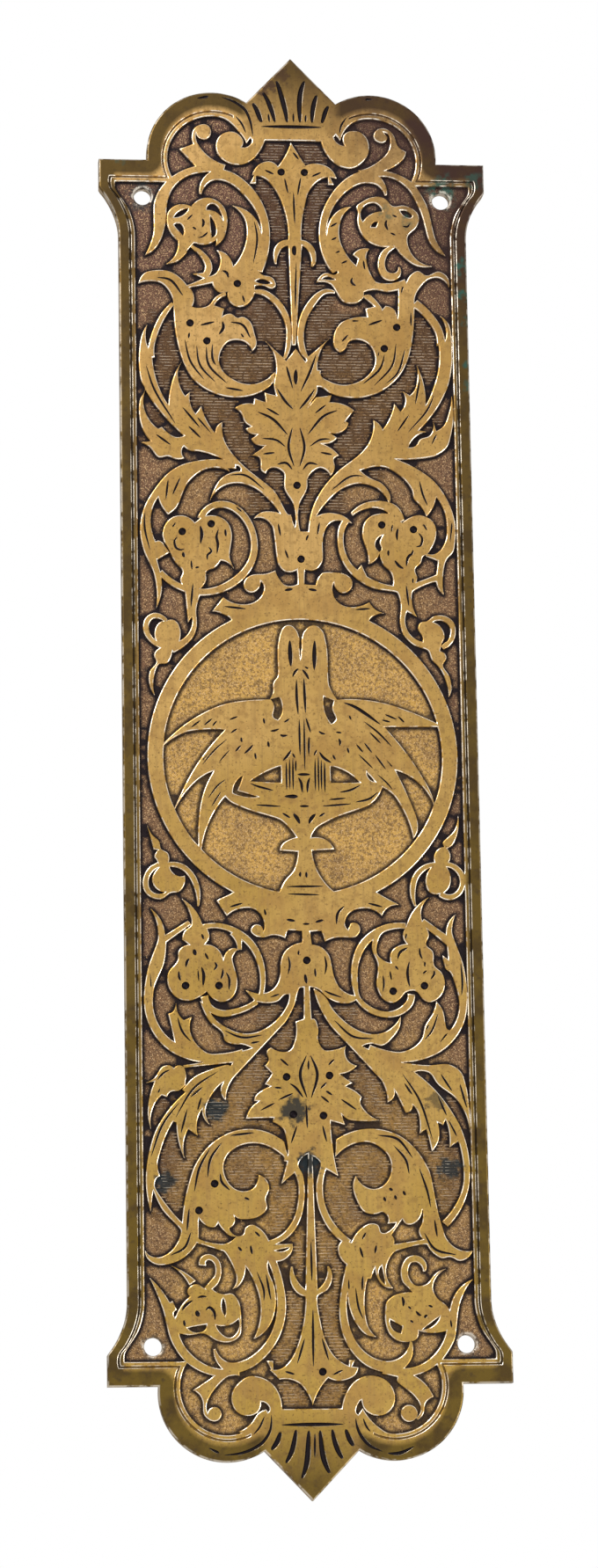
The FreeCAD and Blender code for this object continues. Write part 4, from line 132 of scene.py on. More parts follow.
def smooth_loop(points):
    """The loop as it is and the loop as a curve, with the same number of points on both."""
    ahead = np.roll(points, -1, 0) - points
    run = np.hypot(ahead[:, 0], ahead[:, 1])
    way = unit_rows(ahead)
    came, came_run = np.roll(way, 1, 0), np.roll(run, 1)
    turn = np.degrees(np.arctan2(came[:, 0] * way[:, 1] - came[:, 1] * way[:, 0], (came * way).sum(1)))
    sharp = (abs(turn) > SHARP) | ((abs(turn) > BENT) & (np.minimum(run, came_run) > SHORT_RUN))
    sharp |= (abs(turn) > SLIGHT) & (np.maximum(run, came_run) > LONG_RUN)
    lean = unit_rows(came * run[:, None] + way * came_run[:, None])
    for i in np.flatnonzero(run > LONG_RUN):
        lean[i] = lean[(i + 1) % len(points)] = way[i]
    straight, curved = [], []
    for i in range(len(points)):
        k = (i + 1) % len(points)
        start, end = lean[i], lean[k]
        if sharp[i] and sharp[k]:
            start = end = way[i]
        elif sharp[i]:
            start = 2 * (way[i] @ end) * way[i] - end
        elif sharp[k]:
            end = 2 * (way[i] @ start) * way[i] - start
        bend = max(1 - start @ way[i], 1 - end @ way[i])
        count = max(1, math.ceil(run[i] / (FINE if bend > 4e-4 else 2 * FINE)))
        t = (np.arange(count) / count)[:, None]
        s = 1 - t
        aside = [abs(v[0] * way[i, 1] - v[1] * way[i, 0]) for v in (start, end)]
        start, end = (v * min(run[i], BULGE / max(off, 1e-9)) for v, off in zip((start, end), aside))
        straight.append(s * points[i] + t * points[k])
        curved.append(s * s * (1 + 2 * t) * points[i] + t * t * (3 - 2 * t) * points[k]
                      + t * s * s * start - t * t * s * end)
    return np.concatenate(straight), np.clip(np.concatenate(curved), *box)


box = spots.min(0)[[0, 2]], spots.max(0)[[0, 2]]
pairs = [smooth_loop(points) for points, _ in coarse]
print(sum(len(curved) for _, curved in pairs), "points on the smooth loops")

# %% [markdown]
# ## Lines that keep apart
# Where two lines lie close together, their curves can meet, and a face between them would turn inside out.
# Here every crossing is looked for, and the curves near it are flattened by half towards the straight runs,
# which never cross in the solid, until none is left. The same search later serves the shoulders and strokes.

# %% Find crossings and ease the loops apart
LOOP_TRIES = 8


def crossings(lines):
    """Where any of these closed lines cross."""
    flat = [Vector(point) for line in lines for point in line]
    ends = np.cumsum([0] + [len(line) for line in lines])
    sides = [(i, i + 1 if i + 1 < end else start) for start, end in zip(ends, ends[1:]) for i in range(start, end)]
    found = delaunay_2d_cdt(flat, sides, [], 0, 1e-6)
    return np.array([place for place, source in zip(found[0], found[3]) if not source])


def beside(line, found, reach):
    """Which points of a line lie close to a crossing."""
    return np.hypot(*(line[:, None] - found).transpose(2, 0, 1)).min(1) < reach


bows = [np.ones((len(straight), 1)) for straight, _ in pairs]
for _ in range(LOOP_TRIES):
    lines = [straight + (curved - straight) * bow for (straight, curved), bow in zip(pairs, bows)]
    found = crossings(lines)
    print(len(found), "crossings on the smooth loops")
    if not len(found):
        break
    for line, bow in zip(lines, bows):
        bow[beside(line, found, 1.2)] *= 0.5
loops = [(line, floor) for line, (_, floor) in zip(lines, coarse)]

# %% [markdown]
# ## Room on each side of a line
# A shoulder can only be as wide as the metal beside it. Before anything is offset, each point looks for the
# nearest other line on its left and on its right, so that thin stems and leaf tips get a narrower rounding
# and nothing folds over itself.

# %% Measure the room
def left_normals(points):
    way = unit_rows(np.roll(points, -1, 0) - points)
    left = np.stack([-way[:, 1], way[:, 0]], 1)
    both = unit_rows(left + np.roll(left, 1, 0))
    return both / np.maximum((both * left).sum(1), 0.6)[:, None]


line_tree = KDTree(sum(len(points) for points, _ in loops))
owner, along, girth = [], [], []
for k, (points, _) in enumerate(loops):
    run = np.hypot(*(np.roll(points, -1, 0) - points).T)
    girth.append(run.sum())
    along += list(np.cumsum(run) - run)
    for x, z in points:
        line_tree.insert((x, 0, z), len(owner))
        owner.append(k)
line_tree.balance()


def room_beside(k, points, normals, first):
    room = np.full((len(points), 2), 9.0)
    for i, (x, z) in enumerate(points):
        for place, j, gap in line_tree.find_range((x, 0, z), 1.5):
            if owner[j] == k:
                arc = abs(along[first + i] - along[j])
                if min(arc, girth[k] - arc) < 1.7 * gap + 0.05:
                    continue
            side = (place[0] - x) * normals[i, 0] + (place[2] - z) * normals[i, 1]
            if abs(side) > 0.2 * gap:
                hand = 0 if side > 0 else 1
                room[i, hand] = min(room[i, hand], gap)
    return room


def eased(limit, points):
    run = np.hypot(*(np.roll(points, -1, 0) - points).T)
    for _ in range(3):
        limit = np.minimum(limit, np.roll(limit, -1) + 0.3 * run)
        limit = np.minimum(limit, np.roll(limit, 1) + 0.3 * np.roll(run, 1))
    return limit


# %% [markdown]
# ## Shoulders, walls and feet
# Each loop is swept with a small section: a worn round shoulder, a wall with a little draft, as a casting
# needs to leave its mould, and a fillet at the foot. The section is a list of steps, sideways and down. A
# curve with a bevel could do this too, but its rings would not join the flat faces point by point.

# %% Sections, and how wide they may be at each point
SECTION = [(0.30, 0.0), (0.12, 0.035), (0.0, 0.15), (-0.07, 0.72), (-0.22, 0.9)]
GROOVE_SECTION = [(0.20, 0.0), (0.08, 0.03), (0.0, 0.12), (-0.07, 0.42), (-0.14, 0.5)]
EDGE_SECTION = [(0.50, 0.0), (0.18, 0.06), (0.0, 0.32), (0.0, 3.35), (0.20, 3.6)]
places, glint_and_shade, faces, smooth = [], [], [], []
front_rings, ground_rings, groove_rings, back_rings = [], [], [], []


def add_ring(points, level, value):
    first = len(places)
    places.extend((x, level, z) for x, z in points)
    glint_and_shade.extend([value] * len(points))
    return list(range(first, first + len(points)))


def add_strip(upper, lower):
    for i in range(len(upper)):
        k = (i + 1) % len(upper)
        faces.append((upper[i], lower[i], lower[k], upper[k]))
        smooth.append(True)


def stepped(shape, step):
    """A loop moved sideways by one step of its section."""
    points, normals, section, scale, _ = shape
    side = section[step][0]
    return points + normals * (side * scale[0 if side > 0 else 1])[:, None]


shapes = []
first = 0
for k, (points, floor) in enumerate(loops):
    normals = left_normals(points)
    room = room_beside(k, points, normals, first)
    first += len(points)
    section = EDGE_SECTION if floor > BACK - 0.1 else SECTION if abs(floor - GROUND) < 0.1 else GROOVE_SECTION
    widest = max(abs(side) for side, _ in section)
    scale = [eased(np.minimum(1.0, 0.4 * room[:, hand] / widest), points) for hand in (0, 1)]
    shapes.append((points, normals, section, scale, floor))
outer = next(shape[0] for shape in shapes if shape[2] is EDGE_SECTION)
print(len(shapes), "loops with their sections")

# %% [markdown]
# ## Narrow shoulders in narrow places
# In the sharpest tips even a narrow shoulder crosses the one opposite. Both the upper line of the shoulders
# and the lower line of the feet are searched for crossings, and the section is halved there until none is
# left. Then the rings are laid and joined by strips of faces.

# %% Sweep the sections along the loops
RING_TRIES = 14
for step, hand in ((0, 0), (-1, 1)):
    group = [shape for shape in shapes if step == 0 or shape[2] is not EDGE_SECTION]
    for tries in range(RING_TRIES):
        found = crossings([stepped(shape, step) for shape in group])
        print(len(found), "crossings at step", step)
        if not len(found):
            break
        for shape in group:
            shape[3][hand][beside(stepped(shape, step), found, 0.9 + 0.2 * tries)] *= 0.5

for shape in shapes:
    _, _, section, _, floor = shape
    deep = (floor - FRONT) / section[-1][1]
    rings = []
    for step, (_, down) in enumerate(section):
        # Steps 1 and 2 of each section, the round shoulder, are marked 1.0 for a painted highlight
        rings.append(add_ring(stepped(shape, step), FRONT + down * deep, 1.0 if step in (1, 2) else 0.0))
    for upper, lower in zip(rings, rings[1:]):
        add_strip(upper, lower)
    front_rings.append(rings[0])
    last = back_rings if section is EDGE_SECTION else ground_rings if section is SECTION else groove_rings
    last.append(rings[-1])
print(len(places), "points in the shoulders and walls")

# %% [markdown]
# ## Screw holes
# Four plain holes take the screws. Their place and size come from the record's bolt pattern, so they always
# agree with the solid. The front rims are worn a little round.

# %% Screw holes
pattern = next(mount for mount in frame["record"]["mounts"] if mount["kind"] == "bolt_pattern")
HOLE = pattern["dims"]["hole_r_mm"]
turns = np.linspace(0, 2 * math.pi, 40, endpoint=False)
circle = np.stack([np.cos(turns), np.sin(turns)], 1)
holes = [(sx * pattern["dims"]["spacing_x_mm"] / 2, sz * pattern["dims"]["spacing_y_mm"] / 2)
         for sx in (-1, 1) for sz in (-1, 1)]
for x, z in holes:
    rings = []
    # Every ring of a hole is marked 0.6, which gives a painted highlight round the front rim
    for radius, level in ((HOLE + 0.35, GROUND), (HOLE + 0.1, GROUND + 0.07), (HOLE, GROUND + 0.3),
                          (HOLE, BACK - 0.15), (HOLE + 0.15, BACK)):
        rings.append(add_ring(circle[::-1] * radius + (x, z), level, 0.6))
    for upper, lower in zip(rings, rings[1:]):
        add_strip(upper, lower)
    ground_rings.append(rings[0])
    back_rings.append(rings[-1])
print("holes at", holes)

# %% [markdown]
# ## Engraved lines and punched dots
# After casting, the leaves were given veins with a graver, the fan its flutes and the flowers deep round dots
# with a punch. Each line is a width and the few points that it runs through, in millimetres. A boolean for
# each cut would be slow and frail; here every cut is a loop in the front face with its own sloped sides and
# floor.

# %% Engraved lines: width, then the points that each line runs through
FAN = [
    (1, (-7.6, 159.9), (7.8, 159.9)), (1, (-7.4, -160.1), (7.6, -160.1)),
    (1.5, (-4.5, 173.4), (-3.2, 171), (-2.2, 167.5), (-1.3, 163.5), (-1, 160.9)),
    (1.4, (-7.7, 169.8), (-6, 167.2), (-4.8, 164), (-4, 160.9)),
    (1.4, (-10, 166.6), (-8.6, 164.3), (-7.8, 162), (-7.3, 160.9)),
    (1.5, (4.4, 174), (2.8, 170.2), (2.2, 166.5), (2.2, 160.9)),
    (1.4, (8, 170.8), (6.4, 168), (5.5, 164.5), (5.2, 160.9)),
    (1.4, (10.9, 167.8), (9, 164.8), (8.1, 162.2), (7.6, 160.9)),
    (1.5, (-3.5, -174.2), (-1.9, -170.8), (-1.2, -167.5), (-0.8, -161.3)),
    (1.4, (-7, -170), (-5.2, -167), (-4.4, -164.5), (-3.8, -161.1)),
    (1.4, (-9.8, -166), (-8.4, -164.2), (-7.4, -161.6)),
    (1.5, (5.3, -173.8), (3.4, -170.3), (2.4, -167), (1.8, -161.3)),
    (1.4, (8.5, -169.9), (6.4, -167), (5.2, -163.8), (4.7, -161.1)),
    (1.4, (10.8, -166.7), (9, -164), (7.8, -161.1)),
    (0.9, (-24, 167.2), (-20, 167.8), (-16.5, 167.1), (-13.8, 166), (-11.5, 164.2), (-10.3, 161.5),
     (-9.8, 159), (-9.6, 156.6)),
    (0.9, (19.5, 168), (16, 167.2), (13.5, 165.8), (11.3, 163), (10.6, 160), (10.6, 157.5)),
    (0.6, (-14, 162.6), (-12.4, 160.6), (-11.3, 158)), (0.6, (14, 162.8), (12.6, 160.6), (12, 158.2)),
    (0.9, (-21, -167), (-17, -166.6), (-14, -165.6), (-11.6, -164), (-10, -161.5), (-9.6, -158.6), (-10, -156)),
    (0.9, (16.6, -166.6), (13.4, -165), (11.3, -162.4), (10.4, -159.6), (10.4, -156.4)),
    (0.6, (-14, -162.4), (-12.4, -160.6), (-11.2, -158)), (0.6, (14.6, -162.8), (12.9, -160.8), (12, -158.6))]
MEDALLION = [
    (1.25, (-2.4, 29), (-2.2, 22.2)), (1.25, (3.7, 29), (3.5, 21.3)),
    (0.78, (-1.9, 19.6), (-1.2, 21), (-0.3, 21.9)), (0.78, (0.4, 21.7), (1.4, 20.6), (2.2, 19)),
    (0.62, (1, 22.4), (3, 21.2)), (0.78, (-0.9, 19.3), (-0.9, 15), (-0.6, 10.2)), (0.62, (-0.4, 9.4), (-0.3, 0.2)),
    (0.78, (0.9, 19.6), (1.2, 10.6)), (0.62, (1.2, 9.8), (2.4, 5.8)), (0.62, (1.9, 5.1), (1.8, 0.2)),
    (0.55, (0.8, 9.5), (0.8, -3.4)), (0.94, (10.4, 13.5), (14, 11.9), (20.4, 7.3)),
    (0.55, (15.2, 8.9), (18.8, 6), (22.2, 2.4)), (0.55, (22.5, 1.9), (25.4, -1.8), (27.3, -5)),
    (0.55, (16.6, 6.2), (19.5, 3.2)), (0.55, (15.3, 3.6), (17.3, 0.9)), (0.55, (13.3, 3.2), (15.1, 1)),
    (0.47, (13.8, 0.7), (17.5, -3)), (0.55, (17.6, 1), (20.6, -3.2)),
    (0.47, (20.6, -0.6), (23.6, -4.6), (25.8, -9.4)), (0.47, (18.3, -4.2), (21.2, -7), (23.4, -10.4)),
    (0.55, (20.4, 10.6), (23.6, 9.2)), (0.55, (23.6, 10.2), (25.4, 8.4)), (0.55, (19.6, 9.2), (22, 8.6)),
    (0.7, (9.1, 4.6), (9.5, 3.7), (9.3, 2.6)), (0.62, (4.2, 6.4), (5, 5.8), (6, 5.6)),
    (0.55, (8.4, 6.1), (10, 5.9)), (0.55, (11.8, 10.3), (12.3, 9.1)), (0.62, (11.2, 2.4), (11.6, 0.8)),
    (0.62, (7.6, 0.6), (8.3, -0.8)), (0.55, (-26.8, 7), (-24.2, 9)), (0.55, (-23.6, 7.6), (-21.4, 9.4)),
    (0.55, (-21.9, 7), (-20.3, 8.9)), (0.55, (-17.5, 9), (-15.2, 9.9)), (0.55, (-17.2, 5.7), (-15.4, 6.9)),
    (0.62, (-14.6, 4.8), (-14.4, 3.4)), (0.7, (-14, 0.6), (-12.8, 1.6), (-11.6, 3)),
    (0.7, (-8.1, 3.9), (-7.8, 2.2)), (0.62, (-7.6, 6.3), (-6.4, 6.4), (-5.2, 6.9)),
    (0.7, (-5.2, 5.5), (-4.4, 5.1), (-3.2, 5.3)), (0.62, (-11.3, 1), (-11, -0.8)),
    (0.62, (-16.1, 1.1), (-14.6, 2.8)), (0.62, (-9.1, 9.6), (-8.8, 8)), (0.55, (-4.2, 8.4), (-2.6, 9.4)),
    (0.47, (-24.2, -2.2), (-21, 1.6), (-17.8, 4.4)), (0.47, (-28, -6.4), (-25.4, -2.6), (-22.4, 0.8)),
    (0.47, (-20, -1.4), (-17.4, 1.6)), (0.47, (-22.8, -10.4), (-20.6, -7.4), (-18.4, -5.6)),
    (0.47, (-22, -12.4), (-19.6, -8.6)), (0.78, (-4.6, -1.1), (-3.4, 0.2), (-2.4, 1.7)),
    (0.55, (-2.2, 0.9), (-1.5, -0.4)), (0.55, (3, 0.2), (3.8, 1.8)), (0.78, (4.3, 1.3), (5.4, -0.3), (7.4, -1.6)),
    (0.55, (-3.7, -1.2), (-3.7, -8.4)), (0.55, (-2.9, -0.4), (-2.9, -8.2)), (0.55, (-2.1, 0.2), (-2.1, -8.4)),
    (0.55, (-1.4, -0.8), (-1.4, -3.8)), (0.55, (3.3, -0.4), (3.3, -8.6)), (0.55, (4.1, 0.4), (4.1, -8.8)),
    (0.55, (4.8, -0.6), (4.8, -8.4)), (0.62, (5.6, -1.2), (5.6, -9)), (0.78, (-1.2, -4.4), (2.2, -4.4)),
    (0.78, (-0.9, -5), (-0.1, -6.6), (0.1, -9)), (0.78, (2, -5), (1.5, -6.6), (1.3, -9)),
    (1.25, (-4.4, -9.8), (2.2, -9.9)), (0.7, (-0.8, -12.2), (1.8, -12.2)),
    (0.62, (-12.6, -6.6), (-10.6, -7.4), (-6.8, -8.4)), (0.62, (9, -8.8), (11.8, -8.2), (14.4, -6.9)),
    (0.55, (-11.4, -11.9), (-5, -12.3)), (0.55, (4.8, -12.2), (12, -11.6)),
    (0.62, (12.8, -11.2), (16.2, -10.4), (18.6, -8.6)), (0.55, (6.4, -10.6), (10.8, -10.2)),
    (1.1, (-2.3, -13.9), (-1.2, -15.2), (-0.6, -16.7)), (0.62, (-5, -13.8), (-2.8, -15.2)),
    (1.1, (3.3, -14), (2.2, -15.2), (1.5, -16.6)), (0.62, (5.6, -13.8), (4, -14.8)),
    (0.7, (-0.7, -28.2), (-0.8, -29.6)), (0.7, (0.7, -28.2), (0.8, -29.8)), (0.62, (-4.2, -31.9), (5.6, -31.8)),
    (0.55, (-4, -33.7), (4, -33.9))]
UPPER = [
    (1.1, (-23.6, 166.9), (-18.8, 167.5), (-14.2, 166.3)), (1.1, (12.2, 165.6), (16, 167.2), (20.6, 167.5)),
    (0.62, (-5.7, 163.4), (-5.4, 160.9)), (0.62, (0.6, 163.6), (0.6, 161)), (0.62, (3.7, 163.2), (3.6, 161)),
    (0.62, (0.3, 143), (0.5, 134.6)), (0.62, (2.2, 146.9), (1.3, 142)), (0.62, (-1.9, 146.6), (-1, 142.4)),
    (0.62, (1.8, 151.3), (0.2, 153.4)), (0.62, (-6.9, 148.6), (-4.4, 147.4)), (0.62, (7.4, 148.2), (4.8, 147)),
    (1.38, (0.3, 129.2), (0.3, 126.4)), (0.62, (0.7, 125), (0.1, 106.9)),
    (0.62, (-10, 137), (-8.9, 130.8), (-10, 124)), (0.62, (9.2, 134), (11.2, 135.2)),
    (0.62, (9.4, 130.6), (11.4, 131.6)), (0.62, (10.4, 127.3), (12.7, 128.3)), (0.62, (11.8, 124.6), (14, 125.6)),
    (0.78, (-17.8, 122.4), (-16.6, 121.8), (-16.2, 120.4)), (0.62, (-12.8, 116.2), (-12.2, 114.2)),
    (0.78, (14.6, 121.2), (14.4, 119.8), (15.6, 118.8)), (0.62, (17.4, 125.6), (17.8, 123)),
    (0.7, (-34, 120.4), (-30.4, 119.6), (-27.4, 115.6)), (0.62, (-26, 106.4), (-26.2, 104.8)),
    (0.7, (-23.4, 108.2), (-19.6, 109.2)), (0.94, (-17.8, 109.4), (-17.6, 107.6), (-18.8, 105.8)),
    (0.7, (-16, 109.2), (-12.8, 108.4), (-10.9, 105)), (0.62, (-13.4, 106.4), (-11.8, 104.2)),
    (0.7, (-21.9, 103), (-21.2, 98), (-16.8, 93.4)), (0.78, (-20.4, 103.6), (-20, 98.8), (-15.6, 94.3)),
    (0.62, (-24.3, 103.2), (-23.4, 98), (-19.6, 93.6)), (0.62, (-27.2, 104.7), (-25.8, 99), (-22.4, 94.2)),
    (0.62, (-17.4, 92.4), (-12.7, 91.6)), (0.7, (26.6, 117), (27.8, 120), (30.6, 121.6)),
    (0.62, (29, 112.4), (29, 106)), (0.7, (22.4, 102), (21, 97.6), (16.6, 93.6)),
    (0.78, (21, 102.2), (19.4, 98), (15.6, 94.6)), (0.62, (25.2, 104.4), (24, 98.4), (19.4, 93.2)),
    (0.62, (27.4, 103), (25.6, 97), (22.4, 93.8)), (0.7, (10.9, 107.6), (12.8, 109.6), (16.2, 109.9)),
    (0.62, (13.4, 106.4), (11.6, 104.4)), (0.7, (18.2, 108.8), (22, 110.2)),
    (0.78, (-3.8, 102.8), (-2.2, 98.2), (-0.6, 92.2)), (0.78, (5.8, 102.8), (3.8, 97), (1.2, 91.4)),
    (1.25, (0.2, 97.4), (0.1, 93.2)), (0.78, (-4.6, 92.4), (-2.6, 89.2), (-0.6, 87)),
    (0.78, (4.9, 92.4), (2.8, 89.4), (0.8, 87)), (0.78, (-0.9, 82.6), (-1.9, 77.4), (-0.6, 72.4)),
    (0.78, (0.9, 82.6), (2, 77.4), (0.7, 72.4)), (0.78, (-9.6, 86.4), (-5.6, 84.4), (-2, 80.4)),
    (0.62, (-7.4, 87.4), (-4, 85.4)), (0.62, (-8.6, 79.6), (-5, 79.2), (-2.6, 77.4)),
    (0.62, (-8.4, 75.6), (-5.2, 76)), (0.78, (10.4, 87), (6.6, 85.2), (2.8, 80.6)), (0.62, (7.6, 88.4), (4.6, 86)),
    (0.62, (9.6, 79.6), (6, 79.4), (3.2, 77.6)), (0.62, (9, 75.6), (5.8, 76.2)),
    (0.7, (-5, 73), (-2.6, 73.4), (-1, 71.6)), (0.7, (5.4, 73), (3, 73.4), (1.4, 71.6)),
    (0.62, (-28.8, 91.4), (-25.6, 86.4), (-21, 80.8)), (0.62, (-28, 87.4), (-23.6, 82)),
    (0.62, (-26.6, 82.6), (-23.4, 79.4)), (0.62, (-36.8, 98), (-34.6, 91.4), (-29.6, 82.9)),
    (0.62, (-34.6, 80.4), (-30.8, 77.6)), (0.62, (35.9, 98), (33.2, 88.4), (27.6, 81.4)),
    (0.62, (31, 95.4), (29.6, 88.6)), (0.62, (28, 86), (25, 81.6)), (0.62, (36.4, 84.4), (33.4, 78.4))]
UPPER_STEMS = [
    (0.62, (-36.7, 65), (-37.5, 57.6), (-36.2, 51)), (0.62, (-31.6, 69), (-32.2, 63.8)),
    (0.62, (-28.6, 69.6), (-30.6, 65)), (0.62, (-18.2, 69.9), (-12.8, 70.2), (-8, 66.6)),
    (0.62, (18.6, 69.9), (13.4, 70.2), (8.4, 66.6)), (0.62, (30.2, 69.4), (31, 65.8), (32.2, 62.8)),
    (0.62, (36.2, 66.4), (38, 60), (37.5, 53.6)), (0.62, (-4.8, 58.2), (-4.2, 54.8)),
    (0.62, (5.4, 58.6), (4.8, 55.2)), (0.62, (2.6, 55.4), (2, 53.8)), (0.62, (-3.2, 51.6), (-2.4, 49.2)),
    (0.78, (-3.6, 41.3), (-1.3, 41.7)), (0.78, (2.2, 41.7), (4.6, 41.3)), (0.62, (-18.4, 37.2), (-12.8, 36.6)),
    (0.62, (18.6, 37), (13.6, 36.6)), (0.55, (-16.4, 63.4), (-12, 58.8), (-11.4, 52)),
    (0.62, (-25.8, 43), (-26.4, 36.8)), (0.62, (26.4, 43), (27, 37.4))]
LOWER = [
    (0.62, (-18, -36.9), (-14.6, -35.9)), (0.62, (15.4, -35.9), (19.2, -36.9)),
    (0.78, (-9.6, -37.2), (-9.2, -39), (-9.4, -40.8)), (0.78, (9.9, -36.5), (8.2, -38.4), (7.8, -41.2)),
    (0.78, (-4.4, -39.9), (-2, -40.3)), (0.78, (2.6, -40.6), (4.8, -40)), (0.62, (-0.4, -41), (1.4, -41)),
    (0.62, (-4, -48.6), (-3.6, -51), (-4.1, -53.4)), (0.62, (4.8, -48.6), (5.2, -51), (4.8, -53.4)),
    (0.62, (-1.4, -47.4), (-1.5, -48.6)), (0.62, (2.4, -51.6), (2.6, -54)), (0.94, (0, -53), (0.4, -55.6)),
    (0.62, (2.7, -55.8), (5.4, -57.6), (9, -58.9)), (0.62, (-2.9, -56.2), (-5.2, -57.6), (-8.6, -58.8)),
    (0.62, (-37.2, -52.6), (-36, -63.2), (-31, -69.8)), (0.62, (-31, -62.4), (-29.4, -67.2), (-25.4, -71.4)),
    (0.62, (37.2, -46.8), (38, -55.4), (36.8, -63.8)), (0.62, (36.2, -65), (32.2, -69.8)),
    (0.62, (32, -62.6), (30.2, -67.2), (26.8, -70.6)), (0.62, (30.6, -63.6), (29, -66.8)),
    (0.62, (-20.6, -66.2), (-15.4, -68.4), (-10.2, -67.8)), (0.62, (-14.4, -70), (-11, -69.4)),
    (0.62, (6.7, -64.2), (11.2, -68.2), (16.6, -68.8)), (0.86, (0.1, -72.6), (-1.5, -77.4), (0.1, -83.2)),
    (0.86, (1, -72.6), (2.6, -77.4), (1, -83.2)), (0.62, (0.5, -73.8), (0.5, -76.4)),
    (0.62, (-0.2, -84.4), (0, -90.4)), (0.7, (-4.2, -79.4), (-2.6, -80.6), (-0.8, -83)),
    (0.62, (-6.8, -83.4), (-3.2, -81.8)), (0.62, (-11.3, -86), (-6.2, -83.4)), (0.62, (-8.4, -80.4), (-5.8, -80.6)),
    (0.62, (4.9, -79.2), (3.2, -80.8)), (0.62, (3.2, -82.4), (5.4, -84.2)), (0.62, (8, -83.2), (12, -86)),
    (0.62, (4.4, -81.2), (6.2, -82.4)), (0.62, (-6.4, -73.4), (-4.2, -75.4)), (0.62, (6.8, -73.6), (5.2, -75.2)),
    (0.62, (-2.4, -89.4), (-4, -94)), (0.62, (3.6, -89.4), (4.6, -93.6)),
    (0.62, (-32, -88.6), (-27.2, -80.8), (-21, -76.4)), (0.62, (-28.7, -83.4), (-24.8, -80.2)),
    (0.62, (-30.2, -91.4), (-28.6, -85.4)), (0.62, (-26.2, -86), (-25.2, -82.6)),
    (0.62, (-36.4, -79.4), (-34, -76.8), (-31, -75.6)), (0.62, (-36.6, -84.6), (-35, -80.4)),
    (0.62, (-37.4, -97), (-34.6, -89.4), (-30.4, -83.8)), (0.62, (30, -93.2), (27.2, -84), (22.9, -77)),
    (0.62, (25.4, -82.4), (23.4, -79.4)), (0.62, (34.6, -90), (31.4, -82.4)), (0.62, (36.8, -79.6), (38.4, -85.6)),
    (0.62, (32.2, -77.2), (35, -81.6)), (0.62, (37.6, -100), (36.2, -93.4), (33.4, -87.4))]
FOOT = [
    (0.7, (-22.6, -93.8), (-25.8, -99.4), (-27.2, -105.4)), (0.7, (-20.4, -93.4), (-23.2, -97.4), (-24, -102)),
    (0.62, (-18.6, -91.9), (-12.6, -91.2)), (0.7, (-21, -100.8), (-20.6, -103), (-18.6, -105)),
    (0.62, (-15.4, -106.6), (-14, -107.2)), (0.62, (-28.4, -109), (-29, -114.6)),
    (0.7, (-28, -114.6), (-29.6, -118.4), (-33, -120.2)), (0.7, (16.6, -91.9), (21.6, -93), (25.2, -97.6)),
    (0.7, (20.6, -94.4), (23.4, -97.8), (24.2, -101.4)), (0.62, (26.6, -99.8), (28.4, -105.2), (29.2, -109.4)),
    (0.78, (18, -106.6), (18.4, -107.8)), (0.78, (19.2, -104.6), (20.2, -105.2)),
    (0.78, (22.6, -105.2), (23.2, -106.4)), (0.78, (20.6, -106.2), (21, -107.4)),
    (0.7, (27.4, -115.2), (30, -119.2), (35.2, -120.6)), (0.62, (30, -112), (30.6, -116.4)),
    (0.7, (-17, -118.2), (-16, -119.4)), (0.7, (-14, -117.8), (-13.6, -120.2)),
    (0.62, (-11.6, -116), (-13, -114.6)), (0.62, (-12.6, -124), (-10.9, -129.2), (-12, -135.4)),
    (0.62, (-10.4, -124.6), (-9.3, -131)), (0.7, (12, -118.4), (12.8, -121.2)), (0.7, (16, -118), (15.6, -120.2)),
    (0.62, (13.6, -115), (12.6, -116.8)), (0.62, (10.8, -128), (11.6, -133.2), (13.8, -138)),
    (0.62, (9.2, -126), (9.4, -132.4)), (0.62, (12.6, -125.2), (12.4, -129)), (0.7, (0.6, -133), (0.5, -146.8)),
    (0.62, (-1.4, -139.8), (-3.3, -146)), (0.62, (2.6, -139.8), (4.2, -145.2)), (0.62, (0.4, -117), (0.5, -126.6)),
    (0.62, (-6.4, -147.6), (-3.8, -148.4)), (0.62, (7.6, -147.4), (5, -148.6)),
    (0.94, (-24.6, -165.2), (-20.4, -167), (-15.4, -166.8)), (0.94, (16, -166.8), (20.4, -167), (24.2, -165.4)),
    (0.62, (0.5, -168), (0.6, -162))]
